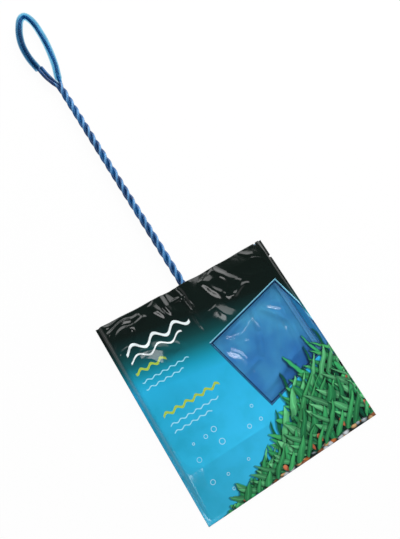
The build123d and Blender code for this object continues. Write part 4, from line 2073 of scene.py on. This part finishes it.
    def window_edges(self, lap: float) -> list[tuple[Array, Array]]:
        """The window's edges, moved outwards by a lap.

        Args:
            lap: How far.

        Returns:
            A point and an outward direction for each.
        """
        turn = math.radians(self.window_turn)
        along = np.array([math.cos(turn), math.sin(turn)])
        across = np.array([-along[1], along[0]])
        middle = np.array(self.window_middle)
        half_width, half_height = self.window_width / 2 + lap, self.window_height / 2 + lap
        limit = np.array([self.hoop.half - self.window_margin + lap, middle[1]])
        return [
            (middle + along * half_width, along),
            (middle - along * half_width, -along),
            (middle + across * half_height, across),
            (middle - across * half_height, -across),
            (limit, np.array([1.0, 0.0])),
        ]

    def cut_window(self, sheet: bpy.types.Mesh, inside: bool, lap: float = 0.0) -> None:
        """Cuts a sheet along the window's edges and keeps what is inside or outside them.

        Args:
            sheet: The mesh.
            inside: Which part is kept.
            lap: How far outside the edges the cut runs.
        """
        work = bmesh.new()
        work.from_mesh(sheet)
        edges = self.window_edges(lap)
        for point, outward in edges:
            bmesh.ops.bisect_plane(
                work,
                geom=[*work.verts, *work.edges, *work.faces],
                plane_co=(*point * MILLIMETRE, 0),
                plane_no=(*outward, 0),
                dist=1e-7,
            )
        work.faces.ensure_lookup_table()
        centre = np.array([face.calc_center_median()[:2] for face in work.faces]) / MILLIMETRE
        within = np.all([(centre - point) @ outward < 0 for point, outward in edges], axis=0)
        drop = np.flatnonzero(within != inside)
        bmesh.ops.delete(work, geom=[work.faces[i] for i in drop], context="FACES")
        work.to_mesh(sheet)
        work.free()

    def thicken(self, piece: Piece, inner_slots: int) -> None:
        """Gives a sheet its thickness downwards.

        Args:
            piece: The sheet.
            inner_slots: How many finishes further on the underside's is.
        """
        modifier = piece.modifiers.new("film", "SOLIDIFY")
        modifier.thickness = self.film * MILLIMETRE
        modifier.offset = -1.0
        modifier.material_offset = inner_slots
        bpy.context.view_layer.update()
        whole = piece.evaluated_get(bpy.context.evaluated_depsgraph_get())
        solid = bpy.data.meshes.new_from_object(whole)
        piece.modifiers.clear()
        piece.data = solid

    def sheet(self, name: str, x: Array, y: Array, z: Array, finishes: list[Material]) -> Piece:
        """A smooth sheet over a grid of points."""
        points = np.stack([x, y, z], axis=-1)
        return mesh_piece(name, points, [grid_quads(*x.shape)], finishes, sharp=SMOOTH_ALL_OVER)

    def build(self) -> None:
        """Makes and dresses the front, the window and the back.

        The back lies flat and lifts off the floor by smooth noise, away from its edges.
        """
        finish = PrintedFilm(self.artwork())
        inside = finish.inside()
        x, y = self.plan(self.cell)
        printed = self.sheet("sleeve_front", x, y, self.height(x, y), [finish.front(), inside])
        self.cut_window(printed.data, inside=False)
        self.thicken(printed, 1)
        settle(printed, Body.SLEEVE, Slot.PRINT, "sleeve_front_film")
        x, y = self.window_plan()
        level = self.height(x, y) - self.film - self.window_drop_in
        clear = self.sheet("sleeve_clear_window", x, y, level, [finish.window()])
        self.cut_window(clear.data, inside=True, lap=self.window_lap)
        self.thicken(clear, 0)
        settle(clear, Body.SLEEVE, Slot.CLEAR, "sleeve_window")
        x, y = self.plan(self.back_cell)
        lift = self.back_lift * (1 + self.back_waves.at(x, y)).clip(0, 2)
        to_edge = np.minimum(self.half - np.abs(x), y - self.bottom)
        level = self.film + lift * np.clip(to_edge / self.back_zone - 0.4, 0, 1)
        back = self.sheet("sleeve_back", x, y, level, [inside, finish.back()])
        self.thicken(back, 1)
        settle(back, Body.SLEEVE, Slot.PRINT, "sleeve_back_film")


# Stage


@dataclass(frozen=True)
class Lamp:
    """A soft square lamp."""

    place: Point
    size: float
    brightness: float


@dataclass
class Studio:
    """The pale floor, the soft lamps and the camera."""

    eye: Point = (-131.07, -179.64, 524.93)
    aim: Point = (20.29, -58.47, 0.0)
    roll: float = 20.83
    lens: float = 44.55
    sensor: float = 36.0
    floor_drop: float = 0.3
    floor_size: float = 6000.0
    floor_grain: float = 400.0
    floor_glow: float = 0.94
    sky: float = 0.18
    screen_fade: Band = (0.45, 0.7)
    lamps: tuple[Lamp, ...] = (
        Lamp((783, 509, 537), 900, 4.4),
        Lamp((-260, -450, 1210), 480, 8.6),
        Lamp((0, 1110, 585), 700, 4.0),
    )
    lamp_aim: Point = (0.0, -60.0, 0.0)

    def look(self, thing: Piece, place: Point, aim: Point, roll: float = 0.0) -> None:
        """Puts a camera or lamp at a place, turned to its aim.

        Its level and upright directions are turned by the roll about its line of sight.

        Args:
            thing: The camera or lamp.
            place, aim: Points in millimetres.
            roll: The roll, in radians.
        """
        ahead = unit(np.subtract(aim, place).astype(float))
        level = unit(np.cross(ahead, UPWARDS))
        upright = np.cross(level, ahead)
        right = level * math.cos(roll) + upright * math.sin(roll)
        up = np.cross(right, ahead)
        matrix = np.eye(4)
        matrix[:3, :3] = np.stack([right, up, -ahead], axis=1)
        matrix[:3, 3] = np.array(place) * MILLIMETRE
        thing.matrix_world = Matrix(matrix.tolist())
        bpy.context.scene.collection.objects.link(thing)

    def camera(self) -> None:
        """The camera at the photograph's place."""
        data = bpy.data.cameras.new("camera")
        data.sensor_width = self.sensor
        data.lens = self.lens
        thing = bpy.data.objects.new("camera", data)
        self.look(thing, self.eye, self.aim, math.radians(self.roll))
        bpy.context.scene.camera = thing

    def light(self) -> None:
        """Soft lamps and the world round them."""
        for number, lamp in enumerate(self.lamps):
            data = bpy.data.lights.new(f"softbox_{number}", "AREA")
            data.size = lamp.size * MILLIMETRE
            data.energy = math.pi * lamp.brightness * data.size**2
            self.look(bpy.data.objects.new(data.name, data), lamp.place, self.lamp_aim)
        bpy.context.scene.world = self.backdrop()

    def backdrop(self) -> bpy.types.World:
        """A white screen round the stage, under a dim grey sky.

        The screen reaches from the horizon up to a height where it fades, as the sine of the
        angle. Only camera, glossy and transmission rays meet it, so it adds no light.

        Returns:
            The world.
        """
        world = bpy.data.worlds.new("studio")
        world.use_nodes = True
        graph = Graph(world)
        _, _, rise = graph.parts(graph.node("ShaderNodeTexCoord").outputs["Generated"])
        screen = graph.seen() * rise.under(*self.screen_fade)
        background = world.node_tree.nodes["Background"].inputs
        graph.put(background["Color"], WHITE)
        graph.put(background["Strength"], screen * (1 - self.sky) + self.sky)
        return world

    def floor(self) -> None:
        """A pale floor that shows white, and keeps some of the object's shadow."""
        graph = Graph.new("studio_floor")
        pale = graph.noise(graph.place(), self.floor_grain) * 0.02 + 0.9
        matte = graph.shader("ShaderNodeBsdfDiffuse", {"Color": graph.vector(pale, pale, pale)})
        white = graph.shader("ShaderNodeEmission", {"Color": WHITE})
        finish = graph.finish(graph.blend(graph.seen() * self.floor_glow, matte, white))
        half = self.floor_size / 2
        points = np.array([[-half, -half], [half, -half], [half, half], [-half, half]])
        points = np.column_stack([points, np.full(4, -self.floor_drop)])
        mesh_piece("floor", points, [np.array([[0, 1, 2, 3]])], [finish])

    def build(self) -> None:
        """Sets the stage."""
        self.camera()
        self.light()
        self.floor()
        bpy.context.scene.view_settings.view_transform = "Standard"


def main() -> None:
    """Builds the net, its sleeve and the stage."""
    logging.basicConfig(level=logging.INFO, format="%(message)s")
    handle = TwistedHandle()
    hoop = Hoop()
    thread = Thread().material()
    handle.build(CoatedWire(handle.level, handle.radius).material(), ClearVinyl().material())
    RimTape(hoop).build(WovenTape().material(), thread)
    MeshPouch(hoop).build(FineMesh().material())
    PouchSeam().build(thread)
    Sleeve(hoop, handle).build()
    Studio().build()


if __name__ == "__main__":
    main()
